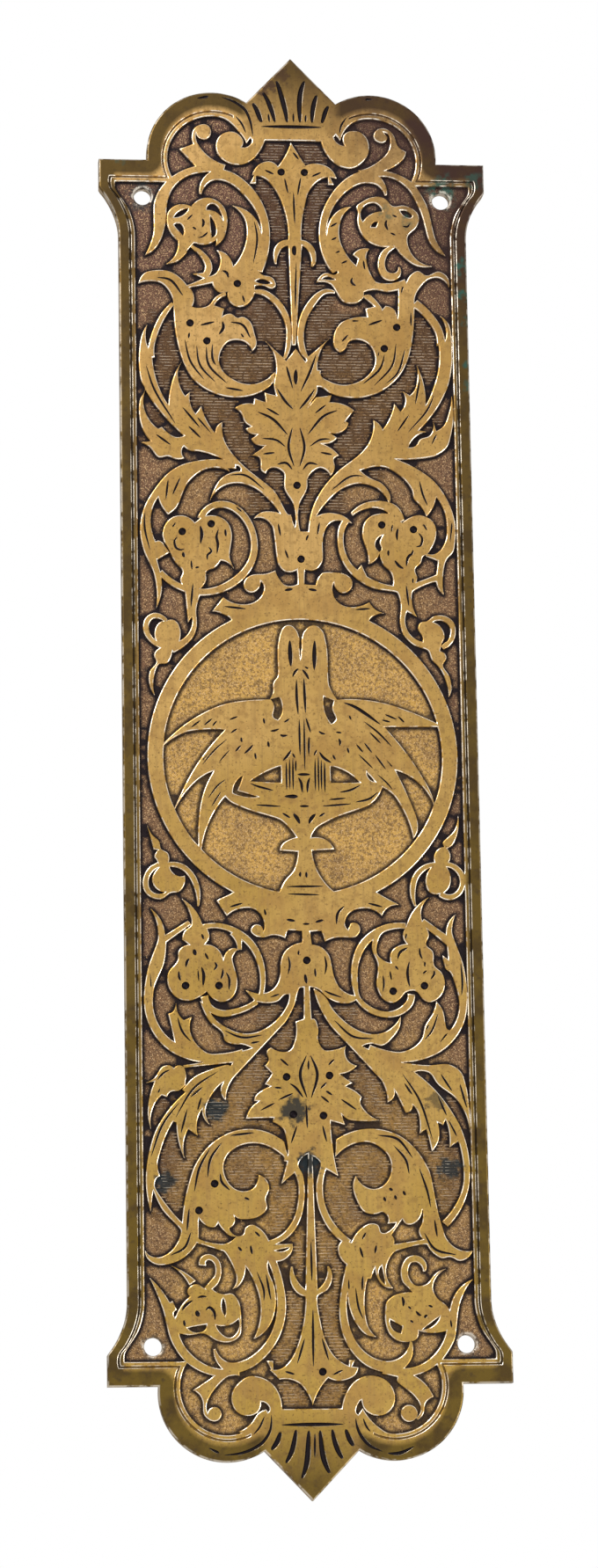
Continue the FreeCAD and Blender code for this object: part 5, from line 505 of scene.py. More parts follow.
FLOWERS = [
    (1, (-23.9, 57.5), (-23.5, 55.3), (-23.9, 52.7)),
    (0.69, (-29.3, 54.6), (-30.2, 53.6), (-29.9, 51.9), (-28.8, 51.3), (-27.7, 51.6)),
    (0.88, (-28.2, 50.8), (-27.9, 49.3)), (0.56, (-26.2, 48.8), (-26, 46.2)), (0.56, (-25.3, 46.8), (-24.2, 47)),
    (0.81, (-19.4, 56.7), (-19.9, 54.7), (-19.6, 52.7), (-19.9, 50.2)), (0.69, (-17.8, 56.7), (-17.6, 54.6)),
    (0.69, (-22, 52.2), (-21.2, 51), (-22.2, 50), (-22.2, 48.6)), (0.5, (-29.9, 58.1), (-30.7, 56.9)),
    (0.81, (24.7, 57.3), (24.4, 55.5), (24.5, 53.9)),
    (0.69, (29.6, 56.2), (30.6, 54.7), (30.2, 52.9), (28.9, 52.5)),
    (0.81, (28.3, 51.9), (28, 50.8), (27, 49.8), (26.5, 47.4)), (0.81, (23.6, 49.2), (24.7, 47.7), (26, 46.9)),
    (0.69, (22.2, 51.7), (22.2, 50.1)), (0.56, (30.9, 58.4), (31.9, 56.6)), (0.5, (28.1, 44.7), (28.1, 43.3)),
    (0.5, (23.4, 58.2), (23, 56.1)), (1.12, (-26.6, -47), (-26.2, -48.7)),
    (0.81, (-27.7, -49.3), (-28.3, -50.2), (-28.6, -51.6)), (0.69, (-24, -47.9), (-23.1, -49.7)),
    (0.94, (-24.9, -51.2), (-24.3, -53.3), (-24.5, -56.1)), (0.44, (-25.7, -52), (-25.5, -55)),
    (0.69, (-30.3, -52.2), (-30.2, -53.8), (-29.8, -54.8)), (0.69, (-21.7, -50.1), (-21.2, -51.2), (-22, -52.3)),
    (0.69, (-19.7, -51.8), (-19.8, -53.2), (-20.3, -54.5)), (0.69, (-19, -52.6), (-18.2, -54.3), (-18.3, -57.1)),
    (0.62, (-24.7, -43.3), (-24.2, -44.8)), (0.81, (25, -46.7), (23.1, -47.9), (22.4, -49.7)),
    (0.62, (27.8, -46.6), (27.9, -48.2), (28.5, -49.7)),
    (0.81, (25.3, -50), (24.8, -52.5), (25, -55), (25.4, -56.8)),
    (0.69, (20.1, -51.1), (21.3, -50.8), (22.7, -52.3)), (0.56, (20.5, -52.3), (20.9, -54.8)),
    (0.56, (18.8, -53.3), (19, -55.6), (18.7, -57.6)), (0.69, (30.2, -54.6), (31.2, -53.3), (31.2, -52.2)),
    (0.56, (28.4, -53.1), (29.5, -52.3)), (0.56, (29, -50.1), (29, -51.5)), (0.5, (24.7, -43.2), (24.5, -44.7)),
    (0.81, (-27.7, -130.7), (-29.4, -131.9), (-30.5, -133.3)), (1.25, (-27, -133.1), (-26.4, -134.7)),
    (0.81, (-24.9, -133.3), (-23.9, -132.5), (-22.8, -133.6), (-22.6, -135.6)),
    (0.69, (-30, -135.3), (-29.7, -137)), (0.62, (-24.4, -130), (-25.6, -129.9), (-26.8, -130.2)),
    (0.81, (21.8, -130.2), (22.2, -131.4), (22.1, -132.8)), (0.69, (25, -133.7), (25.8, -134.6), (26.5, -134.8)),
    (0.81, (27, -135.4), (27.8, -134.6)), (0.62, (28, -132.4), (29.2, -132.9)),
    (0.56, (33.3, -135.8), (33.6, -137.8)), (0.56, (23.2, -132.6), (24, -133.3)),
    (0.56, (23.6, -135.9), (24.5, -136.5)), (0.81, (23.5, 136.2), (23.2, 134.9), (23.8, 133.3)),
    (0.56, (24.8, 137.4), (26.1, 136.8)), (0.56, (27.2, 134.6), (28.6, 134.4), (29.4, 135.5)),
    (0.56, (24.2, 132.8), (25.7, 132.1)), (0.56, (-24.8, 136.8), (-26.3, 135.2)),
    (0.81, (-22.5, 135.8), (-22.1, 134.6), (-22.6, 133.3)),
    (0.75, (-21.2, 136.4), (-20.6, 135), (-20.8, 132.8), (-22.2, 131.2), (-23.7, 130.6)),
    (0.56, (-25, 133.5), (-23.9, 132.8))]
DOTS = [
    (-2.7, 148.1), (3.1, 148.1), (-14.0, 119.1), (-25.8, 108.8), (-21.7, 104.3), (25.4, 108.4), (22.2, 102.9),
    (0.0, 67.8), (-28.3, 55.9), (-21.2, 57.9), (20.7, 58.0), (28.5, 56.9), (0.7, 49.2), (0.5, -49.8),
    (-28.7, -55.9), (-20.7, -55.9), (21.2, -57.3), (28.8, -56.0), (-4.8, -77.9), (5.5, -77.6), (-3.3, -86.9),
    (3.9, -87.2), (-22.3, -103.3), (-26.1, -109.6), (2.7, -147.8)]
STROKES = FAN + MEDALLION + FLOWERS + UPPER + UPPER_STEMS + LOWER + FOOT
print(len(STROKES), "lines and", len(DOTS), "dots to cut")

# %% [markdown]
# ## Where a cut may run
# A graver stops before the edge of the leaf and before the next line. So each line becomes a curve, and only
# its longest stretch that lies on raised metal, clear of the outlines and of the cuts made before, is kept.
# The cuts are noted in a grid of square cells, so that the search looks only nearby.

# %% Plan a stroke
CELL = 2
STROKE_STEP = 0.55
WIDE_CUT = 1.3
SHOULDER, EDGE_SHOULDER, CUT_GAP = 0.38, 0.62, 0.08
front_tree = BVHTree.FromPolygons([Vector((x, 0, z)) for x, _, z in spots.tolist()], flat_faces(FRONT).tolist())
cut_cells = {}


def cuts_near(x, z):
    column, row = math.floor(x / CELL), math.floor(z / CELL)
    cells = [(column + i, row + k) for i in (-1, 0, 1) for k in (-1, 0, 1)]
    return [cut for cell in cells for cut in cut_cells.get(cell, [])]


def note_cut(points, half):
    for x, z in points:
        cut_cells.setdefault((math.floor(x / CELL), math.floor(z / CELL)), []).append((x, z, half))


def clear_of_lines(x, z, half):
    hit = front_tree.find_nearest(Vector((x, 0, z)))
    _, near, gap = line_tree.find((x, 0, z))
    shoulder = EDGE_SHOULDER if loops[owner[near]][1] > BACK - 0.1 else SHOULDER
    if hit[0] is None or hit[3] > 0.01 or gap < half + shoulder:
        return False
    return all(math.hypot(cx - x, cz - z) > half + other + CUT_GAP for cx, cz, other in cuts_near(x, z))


def curve_through(points):
    p = np.array(points)
    step = min(STROKE_STEP, np.hypot(*np.diff(p, axis=0).T).sum() / 5)
    p = np.vstack([2 * p[0] - p[1], p, 2 * p[-1] - p[-2]])
    out = []
    for before, start, end, after in zip(p, p[1:], p[2:], p[3:]):
        t = np.linspace(0, 1, max(2, math.ceil(math.dist(start, end) / step)), endpoint=False)[:, None]
        out.append(start + (end - before) * t / 2 + (2 * before - 5 * start + 4 * end - after) * t ** 2 / 2
                   + (3 * start - before - 3 * end + after) * t ** 3 / 2)
    return np.concatenate(out + [p[-2:-1]])


def taper(width, count):
    """Half the width of a cut along its length: wide flutes have blunt ends, fine lines slim ones."""
    return width / 2 * np.sin(np.linspace(0, np.pi, count)) ** (0.35 if width > WIDE_CUT else 0.6)


def plan(width, *points):
    line = curve_through(points)
    half = taper(width, len(line))
    free = "".join("1" if clear_of_lines(x, z, h) else "0" for (x, z), h in zip(line, half))
    best = max(free.split("0"), key=len)
    if len(best) < 4:
        return None
    kept = slice(free.find(best), free.find(best) + len(best))
    note_cut(line[kept], width / 2)
    return line[kept], np.minimum(half[kept], taper(width, len(best)))[:, None]


# %% [markdown]
# ## Cutting the metal
# A cut has tapered ends and sloping sides; one lip gets a painted highlight and the other painted shade, and the
# flat floor is painted dark as shade, so that it reads as a line from afar. Cuts that would still cross an outline
# or another cut are made narrower, and the last few are left out.

# %% Cut the dots and strokes
def sideways(line):
    return unit_rows(np.gradient(line, axis=0))[:, ::-1] * (-1, 1)


def lens(line, swell):
    across = sideways(line) * swell
    return np.concatenate([(line + across)[:-1], (line - across)[:0:-1]])


def engrave(line, swell):
    across = sideways(line)
    tip, end = add_ring(line[:1], FRONT, 0.0), add_ring(line[-1:], FRONT, 0.0)
    # The lip on the side towards the light direction (0.6, -0.8) gets a painted highlight; the other lip and the
    # floor get painted shade
    lit = 1 if across[len(line) // 2] @ (0.6, -0.8) > 0 else -1
    rows = []
    for side, sink, value in ((1, 0.0, 0.0), (0.84, 0.1, 0.9 * lit), (0.5, 0.7, -1.0), (-0.5, 0.7, -1.0),
                              (-0.84, 0.1, -0.9 * lit), (-1, 0.0, 0.0)):
        row = line + across * swell * side
        rows.append([add_ring([row[i]], FRONT + sink * swell[i, 0], value)[0] for i in range(1, len(line) - 1)])
    for lower, upper in zip(rows, rows[1:]):
        chain_a, chain_b = tip + upper + end, tip + lower + end
        for i in range(len(chain_a) - 1):
            quad = [chain_a[i], chain_a[i + 1], chain_b[i + 1], chain_b[i]]
            faces.append(tuple(dict.fromkeys(quad)))
            smooth.append(False)
    front_rings.append(tip + rows[-1] + end + rows[0][::-1])


def punch(x, z, radius):
    # The inside of each dot is marked -1, which paints it dark as shade
    rings = [add_ring(circle[::-2] * r + (x, z), FRONT + down, value)
             for r, down, value in ((radius, 0.0, 0.3), (radius * 0.9, 0.12, -1.0), (radius * 0.72, 0.62, -1.0))]
    for upper, lower in zip(rings, rings[1:]):
        add_strip(upper, lower)
    middle = add_ring([(x, z)], FRONT + 0.7, -1.0)[0]
    for i in range(len(rings[-1])):
        faces.append((rings[-1][i], middle, rings[-1][(i + 1) % len(rings[-1])]))
        smooth.append(True)
    front_rings.append(rings[0])
    note_cut([(x, z)], radius)


DOT_RADIUS = 1.0
for x, z in DOTS:
    punch(x, z, DOT_RADIUS)
cuts = [cut for cut in (plan(*stroke) for stroke in STROKES) if cut]
outlines = [np.array([places[i] for i in ring])[:, [0, 2]] for ring in front_rings]
for tries in range(6):
    found = crossings(outlines + [lens(*cut) for cut in cuts])
    print(len(found), "crossings with strokes")
    if not len(found):
        break
    for line, swell in cuts:
        swell *= 0.7 if beside(line, found, 1.0).any() else 1.0
    cuts = [cut for cut in cuts if tries < 3 or not beside(cut[0], found, 0.7).any()]
for cut in cuts:
    engrave(*cut)
print(len(DOTS), "dots and", len(cuts), "strokes cut")

# %% [markdown]
# ## Flat faces
# What is left is flat: the front between the cuts, the ground, the bottom of the groove and the back. A
# constrained Delaunay triangulation fills each between its rings. Loose points are scattered inside first,
# so that the metal's colour can change smoothly with the distance from an edge.

# %% Fill the flat faces
def scattered(level, pitch, gap):
    rng = np.random.default_rng(5)
    found = {}
    for a, b, c in spots[flat_faces(level)][:, :, [0, 2]]:
        low, high = np.minimum(np.minimum(a, b), c), np.maximum(np.maximum(a, b), c)
        twice = (b[0] - a[0]) * (c[1] - a[1]) - (b[1] - a[1]) * (c[0] - a[0])
        for row in range(math.ceil(low[1] / pitch), math.floor(high[1] / pitch) + 1):
            shift = 0.5 * (row % 2)
            for column in range(math.ceil(low[0] / pitch - shift), math.floor(high[0] / pitch - shift) + 1):
                x, z = (column + shift) * pitch, row * pitch
                u = ((b[0] - x) * (c[1] - z) - (b[1] - z) * (c[0] - x)) / twice
                v = ((c[0] - x) * (a[1] - z) - (c[1] - z) * (a[0] - x)) / twice
                if u >= 0 and v >= 0 and u + v <= 1:
                    found[(column, row)] = (x, z)
    points = []
    for key in sorted(found):
        x, z = np.array(found[key]) + rng.uniform(-0.18, 0.18, 2) * pitch
        if line_tree.find((x, 0, z))[2] > gap and all(math.hypot(x - hx, z - hz) > HOLE + 1 for hx, hz in holes):
            near = cuts_near(x, z) if level < FRONT + 0.1 else []
            if all(math.hypot(cx - x, cz - z) > half + 0.4 for cx, cz, half in near):
                points.append((x, z))
    return points


def odd_faces(found, borders):
    """Which triangles lie inside: each border that is crossed on the way in from outside changes sides."""
    owners = {}
    for n, face in enumerate(found):
        for i in range(3):
            owners.setdefault(tuple(sorted((face[i], face[(i + 1) % 3]))), []).append(n)
    todo = [next(held[0] for held in owners.values() if len(held) == 1)]
    inside = {todo[0]: False}
    while todo:
        n = todo.pop()
        for i in range(3):
            edge = tuple(sorted((found[n][i], found[n][(i + 1) % 3])))
            for other in owners[edge]:
                if other not in inside:
                    inside[other] = inside[n] != (edge in borders)
                    todo.append(other)
    return inside


def fill(rings, loose, level, turn_over=False):
    ids = [i for ring in rings for i in ring] + (add_ring(loose, level, 0.0) if loose else [])
    local = {i: n for n, i in enumerate(ids)}
    flat = [Vector((places[i][0], places[i][2])) for i in ids]
    # Four points far outside, so that the search for inside and outside starts from a sure place
    far = [Vector((x, z)) for x in (-99, 99) for z in (-299, 299)]
    borders = []
    for ring in rings:
        points = np.array([flat[local[i]] for i in ring])
        nxt = np.roll(points, -1, 0)
        area = (points[:, 0] * nxt[:, 1] - points[:, 1] * nxt[:, 0]).sum()
        borders.append([local[i] for i in (ring if area > 0 else ring[::-1])])
    verts, edges, found, origin, sources, _ = delaunay_2d_cdt(flat + far, [], borders, 0, 1e-6)
    inside = odd_faces(found, {tuple(sorted(edge)) for edge, source in zip(edges, sources) if source})
    number = []
    extra = 0
    for place, source in zip(verts, origin):
        if source:
            number.append(ids[source[0]] if source[0] < len(ids) else None)
        else:
            number.append(add_ring([place], level, 0.0)[0])
            extra += 1
    kept = []
    for n, face in enumerate(found):
        if inside.get(n):
            corner = [number[i] for i in face]
            kept.append(tuple(corner[::-1] if turn_over else corner))
    faces.extend(kept)
    smooth.extend([False] * len(kept))
    print("level", round(level, 2), len(kept), "faces,", extra, "crossings")
    return kept


fill(front_rings, scattered(FRONT, 1.5, 0.8), FRONT)
fill(groove_rings, [], FRONT + GROOVE_SECTION[-1][1])
ground_faces = fill(ground_rings, scattered(GROUND, 1.2, 0.8), GROUND)
fill(back_rings, scattered(BACK, 6.0, 1.5), BACK, True)

# %% [markdown]
# ## The plate's mesh
# All the rings, strips and fills go into one mesh. Four values are kept for the metal: `edge`, which marks painted
# highlights on shoulders and cut lips and painted shade in cuts and dots, `reach`, the distance in millimetres from
# the nearest outline, `rim`, the distance from the plate's outer edge, and `ruled`, which is 1 where the ground has
# ruled lines.

# %% Make the plate
def mesh_piece(name, points, polygons):
    mesh = bpy.data.meshes.new(name)
    mesh.from_pydata([(x / 1000, y / 1000, z / 1000) for x, y, z in points], [], polygons)
    mesh.validate()
    mesh.update()
    piece = bpy.data.objects.new(name, mesh)
    bpy.context.scene.collection.objects.link(piece)
    return piece


def is_ruled(x, z):
    """The middle of each half has a ruled ground, the rest a stippled one."""
    return abs(x) < next(half for top, half in RULED_HALF if abs(z) < top)


RULED_HALF = [(60, 0), (70, 12), (82, 21), (112, 36), (math.inf, 10)]
plate = mesh_piece("relief_plate", places, faces)
plate.data.polygons.foreach_set("use_smooth", smooth)
reach = [line_tree.find((x, 0, z))[2] for x, _, z in places]
outer_tree = KDTree(len(outer))
for i, (x, z) in enumerate(outer):
    outer_tree.insert((x, 0, z), i)
outer_tree.balance()
rim = [outer_tree.find((x, 0, z))[2] for x, _, z in places]
ruled = [float(is_ruled(x, z)) for x, _, z in places]
for name, values in (("edge", glint_and_shade), ("reach", reach), ("ruled", ruled), ("rim", rim)):
    plate.data.attributes.new(name, "FLOAT", "POINT").data.foreach_set("value", values)
print("plate", len(plate.data.polygons), "faces")

# %% [markdown]
# ## Ruled and stippled ground
# The founder's pattern had a ruled ground in the middle of each half and a pebbled one elsewhere, which
# hides casting flaws and makes the ornament stand out. A Geometry Nodes tree lays both on the ground: rows of
# short ridges found by rays on a lattice, and low five-sided pebbles strewn at a set distance. Bump alone would
# look the same from afar, but would not catch the light at a low angle.

# %% Geometry Nodes helpers
def add(tree, kind, ins=(), **settings):
    node = tree.nodes.new(kind)
    for key, value in settings.items():
        setattr(node, key, value)
    for socket, value in dict(ins).items():
        if isinstance(value, bpy.types.NodeSocket):
            tree.links.new(value, node.inputs[socket])
        else:
            node.inputs[socket].default_value = value
    return node


def math_node(tree, way, a, b=0.0):
    return add(tree, "ShaderNodeMath", {0: a, 1: b}, operation=way).outputs[0]


def set_inputs(modifier, values):
    for item in modifier.node_group.interface.items_tree:
        if item.in_out == "INPUT" and item.name in values:
            modifier[item.identifier] = values[item.name]


# %% Tree that lays ridges and pebbles
def step_up(tree, value, edge):
    return math_node(tree, "GREATER_THAN", value, edge)


def ground_tree():
    tree = bpy.data.node_groups.new("ground_texture", "GeometryNodeTree")
    tree.interface.new_socket("Ground", in_out="INPUT", socket_type="NodeSocketGeometry")
    for name in ("Row pitch", "Ridge length", "Ridge size", "Pebble gap", "Pebble size"):
        tree.interface.new_socket(name, in_out="INPUT", socket_type="NodeSocketFloat")
    tree.interface.new_socket("Seed", in_out="INPUT", socket_type="NodeSocketInt")
    tree.interface.new_socket("Metal", in_out="INPUT", socket_type="NodeSocketMaterial")
    tree.interface.new_socket("Texture", in_out="OUTPUT", socket_type="NodeSocketGeometry")
    given = add(tree, "NodeGroupInput").outputs
    rooms = [add(tree, "GeometryNodeInputNamedAttribute", {"Name": name}, data_type="FLOAT")
             for name in ("ruled_room", "stippled_room")]
    ruled, stippled = (room.outputs["Attribute"] for room in rooms)

    wide, high = 0.076, 0.312
    across = math_node(tree, "DIVIDE", wide, given["Ridge length"])
    rows = math_node(tree, "DIVIDE", high, given["Row pitch"])
    lattice = add(tree, "GeometryNodeMeshGrid",
                  {"Size X": wide, "Size Y": high, "Vertices X": across, "Vertices Y": rows})
    upright = add(tree, "GeometryNodeTransform",
                  {"Geometry": lattice.outputs["Mesh"], "Rotation": (math.pi / 2, 0, 0),
                   "Translation": (0, FRONT / 1000, 0)})
    shake = add(tree, "FunctionNodeRandomValue",
                {0: (-0.0004, 0, -0.00005), 1: (0.0004, 0, 0.00005), "Seed": given["Seed"]},
                data_type="FLOAT_VECTOR").outputs[0]
    loose = add(tree, "GeometryNodeSetPosition", {"Geometry": upright.outputs[0], "Offset": shake})
    ray = add(tree, "GeometryNodeRaycast",
              {"Target Geometry": given["Ground"], "Attribute": ruled, "Ray Direction": (0, 1, 0),
               "Ray Length": 0.002}, data_type="FLOAT")
    kept = math_node(tree, "MULTIPLY", step_up(tree, ray.outputs["Attribute"], 0.55), ray.outputs["Is Hit"])
    ridge = add(tree, "GeometryNodeMeshCylinder",
                {"Vertices": 4, "Radius": given["Ridge size"], "Depth": given["Ridge length"]},
                fill_type="NGON")
    lying = add(tree, "GeometryNodeTransform", {"Geometry": ridge.outputs["Mesh"], "Rotation": (0, math.pi / 2, 0),
                                               "Scale": (1, 1, 1.02)})
    down = add(tree, "ShaderNodeCombineXYZ", {1: (GROUND - FRONT) / 1000})
    dots = add(tree, "GeometryNodeMeshToPoints", {"Mesh": loose.outputs[0], "Selection": kept})
    dots = add(tree, "GeometryNodeSetPosition", {"Geometry": dots.outputs[0], "Offset": down.outputs[0]})
    ridges = add(tree, "GeometryNodeInstanceOnPoints", {"Points": dots.outputs[0], "Instance": lying.outputs[0]})

    strewn = add(tree, "GeometryNodeDistributePointsOnFaces",
                 {"Mesh": given["Ground"], "Distance Min": given["Pebble gap"],
                  "Density Max": 6.0e6, "Seed": given["Seed"]}, distribute_method="POISSON")
    tree.links.new(step_up(tree, stippled, 0.45), strewn.inputs["Selection"])
    pebble = add(tree, "GeometryNodeMeshCone", {"Vertices": 5, "Radius Bottom": given["Pebble size"],
                 "Radius Top": 0.0, "Depth": 0.00022}, fill_type="NGON")
    facing = add(tree, "GeometryNodeTransform", {"Geometry": pebble.outputs["Mesh"], "Rotation": (math.pi / 2, 0, 0),
                                                "Translation": (0, 0.00008, 0)})
    swing = add(tree, "FunctionNodeRandomValue",
                {0: (0, 0, 0), 1: (0, 6.28, 0), "Seed": given["Seed"]}, data_type="FLOAT_VECTOR")
    grow = add(tree, "FunctionNodeRandomValue", {2: 0.6, 3: 1.2, "Seed": given["Seed"]}, data_type="FLOAT")
    pebbles = add(tree, "GeometryNodeInstanceOnPoints",
                  {"Points": strewn.outputs["Points"], "Instance": facing.outputs[0],
                   "Rotation": swing.outputs[0], "Scale": grow.outputs[1]})

    both = add(tree, "GeometryNodeJoinGeometry")
    for item in (ridges, pebbles):
        tree.links.new(item.outputs["Instances"], both.inputs[0])
    real = add(tree, "GeometryNodeRealizeInstances", {"Geometry": both.outputs[0]})
    metal = add(tree, "GeometryNodeSetMaterial", {"Geometry": real.outputs[0], "Material": given["Metal"]})
    tree.links.new(metal.outputs[0], add(tree, "NodeGroupOutput").inputs["Texture"])
    return tree


# %% [markdown]
# ## Aged brass
# The metal is one alloy with many faces. Polished tops are a warm tan, browner towards the top right corner
# and yellower towards the foot. The sunk ground holds dark brown patina with light specks painted as sparkle,
# the foot of the walls is darkened by painted shade together with grime, and the shoulders carry painted
# highlights. All of it is read from Object coordinates and from the four values kept on the mesh.

# %% Node helpers
def mix(tree, factor, one, two):
    return add(tree, "ShaderNodeMix", {0: factor, 6: one, 7: two}, data_type="RGBA").outputs[2]


def ramp(tree, value, low, high, to_low=0.0, to_high=1.0):
    ins = {"Value": value, "From Min": low, "From Max": high, "To Min": to_low, "To Max": to_high}
    return add(tree, "ShaderNodeMapRange", ins).outputs["Result"]


def noise(tree, place, scale, detail=4.0):
    ins = {"Vector": place, "Scale": scale, "Detail": detail, "Roughness": 0.55}
    return add(tree, "ShaderNodeTexNoise", ins).outputs["Fac"]


# %% [markdown]
# ## Stains
# Green verdigris sits round a hole and along the right side, and dark patches lie among the lower leaves.
# Each stain is a round spot with a ragged border, so that it can be placed where it is seen. A painted
# picture would do as well, but these few numbers are easier to change.

# %% Stains: x and z in millimetres, radius, strength
VERDIGRIS = [(43.0, 124.0, 2.2, 0.8), (42.6, 117.0, 1.8, 0.9), (42.9, 110.0, 1.6, 0.7), (43.2, 99.0, 2.0, 0.8),
             (42.4, 93.5, 1.6, 0.6), (37.2, 143.6, 4.6, 0.75), (45.0, 146.0, 2.6, 0.5), (24.0, 138.0, 2.0, 0.5),
             (29.0, 136.0, 1.8, 0.5), (-43.0, 150.0, 1.6, 0.3)]
BROWN_STAINS = [(-2.6, 173.2, 2.4, 0.8), (-6.0, 170.2, 2.2, 0.8)]
DARK_STAINS = [(-21.5, -85.5, 3.2, 0.95), (-3.0, -86.0, 3.8, 0.9), (0.5, -98.5, 3.4, 0.95),
               (-34.0, -103.0, 3.0, 0.9), (34.0, -100.0, 3.2, 0.9), (-37.2, 141.5, 4.4, 0.7),
               (-37.2, -141.5, 3.6, 0.5), (37.2, -141.5, 3.6, 0.5), (31.0, -84.0, 2.6, 0.6)]


def stains(tree, flat, ragged, spots_at):
    whole = 0.0
    for x, z, radius, strength in spots_at:
        ins = {0: flat, 1: (x / 1000, 0, z / 1000)}
        gap = add(tree, "ShaderNodeVectorMath", ins, operation="DISTANCE").outputs["Value"]
        gap = math_node(tree, "ADD", gap, ramp(tree, ragged, 0.3, 0.7, 0.0013, -0.0013))
        whole = math_node(tree, "MAXIMUM", whole, ramp(tree, gap, radius / 1000, 0.6 * radius / 1000, 0.0, strength))
    return whole


# %% [markdown]
# ## Colour in layers
# One node group gives colour, roughness and height to both pieces, so that they age alike. It goes from the
# rubbed tops to the sunk ground, then the stains, the outer sides and the painted highlights on the shoulders,
# each laid over the one before: wear and dirt, with painted shade at the wall feet and in the cuts.

# %% Tarnish group
def tarnish_and_painted_light_group():
    tree = bpy.data.node_groups.new("brass_tarnish_and_painted_light", "ShaderNodeTree")
    for name, kind in (("Color", "NodeSocketColor"), ("Roughness", "NodeSocketFloat"), ("Height", "NodeSocketFloat")):
        tree.interface.new_socket(name, in_out="OUTPUT", socket_type=kind)
    out = tree.nodes.new("NodeGroupOutput")
    place = add(tree, "ShaderNodeTexCoord").outputs["Object"]
    parts = add(tree, "ShaderNodeSeparateXYZ", {0: place})
    x, y, z = (parts.outputs[i] for i in range(3))
    flat = add(tree, "ShaderNodeCombineXYZ", {0: x, 2: z}).outputs[0]
    edge, reach, rim, ruled = (add(tree, "ShaderNodeAttribute", attribute_name=name).outputs["Fac"]
                               for name in ("edge", "reach", "rim", "ruled"))
    sunk = ramp(tree, y, FRONT / 1000 + 0.00012, GROUND / 1000 - 0.0002)
    broad, cloud, fine = noise(tree, place, 26.0), noise(tree, place, 150.0), noise(tree, place, 620.0, 3.0)
    grain, speck = noise(tree, place, 1700.0, 3.0), noise(tree, place, 3600.0, 2.0)
    drawn_out = add(tree, "ShaderNodeVectorMath", {0: place, 1: (1500, 1500, 90)}, operation="MULTIPLY")
    brushed = noise(tree, drawn_out.outputs[0], 1.0, 3.0)

    # Rubbed tops: tan above, yellower below, with brown clouds, fine scratches and pores
    top = mix(tree, ramp(tree, broad, 0.42, 0.58), (0.64, 0.39, 0.14, 1), (0.50, 0.295, 0.085, 1))
    top = mix(tree, ramp(tree, z, -0.13, 0.10, 0.7, 0.0), top, (0.48, 0.305, 0.058, 1))
    top = mix(tree, ramp(tree, cloud, 0.48, 0.62, 0.0, 0.6), top, (0.36, 0.20, 0.06, 1))
    top = mix(tree, ramp(tree, brushed, 0.5, 0.66, 0.0, 0.4), top, (0.36, 0.22, 0.08, 1))
    top = mix(tree, ramp(tree, fine, 0.52, 0.66, 0.0, 0.5), top, (0.30, 0.17, 0.055, 1))
    top = mix(tree, ramp(tree, grain, 0.58, 0.70, 0.0, 0.7), top, (0.12, 0.07, 0.03, 1))
    old = mix(tree, ramp(tree, z, -0.10, 0.12), (0.145, 0.092, 0.018, 1), (0.095, 0.058, 0.016, 1))
    old = mix(tree, ramp(tree, cloud, 0.42, 0.62, 0.0, 0.8), old, (0.05, 0.031, 0.012, 1))
    old = mix(tree, ramp(tree, fine, 0.56, 0.72, 0.0, 0.7), old, (0.06, 0.04, 0.02, 1))
    across, along = math_node(tree, "ABSOLUTE", x), math_node(tree, "ABSOLUTE", z)
    fan = math_node(tree, "MULTIPLY", ramp(tree, across, 0.0125, 0.0105), ramp(tree, along, 0.157, 0.161))
    band = math_node(tree, "MULTIPLY", ramp(tree, rim, 4.6, 3.2, 0.0, 0.95), math_node(tree, "SUBTRACT", 1.0, fan))
    band = math_node(tree, "ADD", band, math_node(tree, "MULTIPLY", fan, ramp(tree, along, 0.162, 0.174, 0.3, 0.9)))
    top = mix(tree, band, top, old)

    # Sunk ground: purple-brown at the head, golden in the medallion and below
    middle = add(tree, "ShaderNodeVectorMath", {0: flat}, operation="LENGTH").outputs["Value"]
    golden = ramp(tree, middle, 0.0335, 0.0345, 0.95, 0.0)
    lower = math_node(tree, "MAXIMUM", ramp(tree, z, -0.045, -0.09, 0.0, 0.8), ramp(tree, z, 0.125, 0.095, 0.0, 0.32))
    lower = math_node(tree, "MULTIPLY", lower, ramp(tree, across, 0.026, 0.036, 1.0, 0.45))
    golden = math_node(tree, "MAXIMUM", golden, lower)
    golden = math_node(tree, "MULTIPLY", golden, ramp(tree, cloud, 0.32, 0.58, 0.55, 1.0))
    patina = mix(tree, broad, (0.10, 0.048, 0.040, 1), (0.145, 0.075, 0.05, 1))
    ground = mix(tree, golden, patina, (0.52, 0.315, 0.085, 1))
    ground = mix(tree, ramp(tree, grain, 0.44, 0.62, 0.0, 0.65), ground, (0.07, 0.038, 0.026, 1))
    # Light specks painted on the ground as sparkle: painted glints
    ground = mix(tree, ramp(tree, speck, 0.54, 0.68, 0.0, 0.85), ground, (0.62, 0.42, 0.22, 1))
    between = math_node(tree, "MULTIPLY", ruled, ramp(tree, z, -0.06, 0.06, 0.45, 0.8))
    ground = mix(tree, between, ground, (0.065, 0.035, 0.018, 1))
    # Painted shade, with grime, darkens the ground near the foot of every wall
    wall_foot_shade_and_grime = ramp(tree, reach, 0.40, 1.15, 0.97, 0.0)
    wall_foot_shade_and_grime = math_node(tree, "MULTIPLY", wall_foot_shade_and_grime, ramp(tree, golden, 0.3, 0.9, 1.0, 0.85))
    ground = mix(tree, wall_foot_shade_and_grime, ground, (0.012, 0.009, 0.012, 1))
    color = mix(tree, sunk, top, ground)

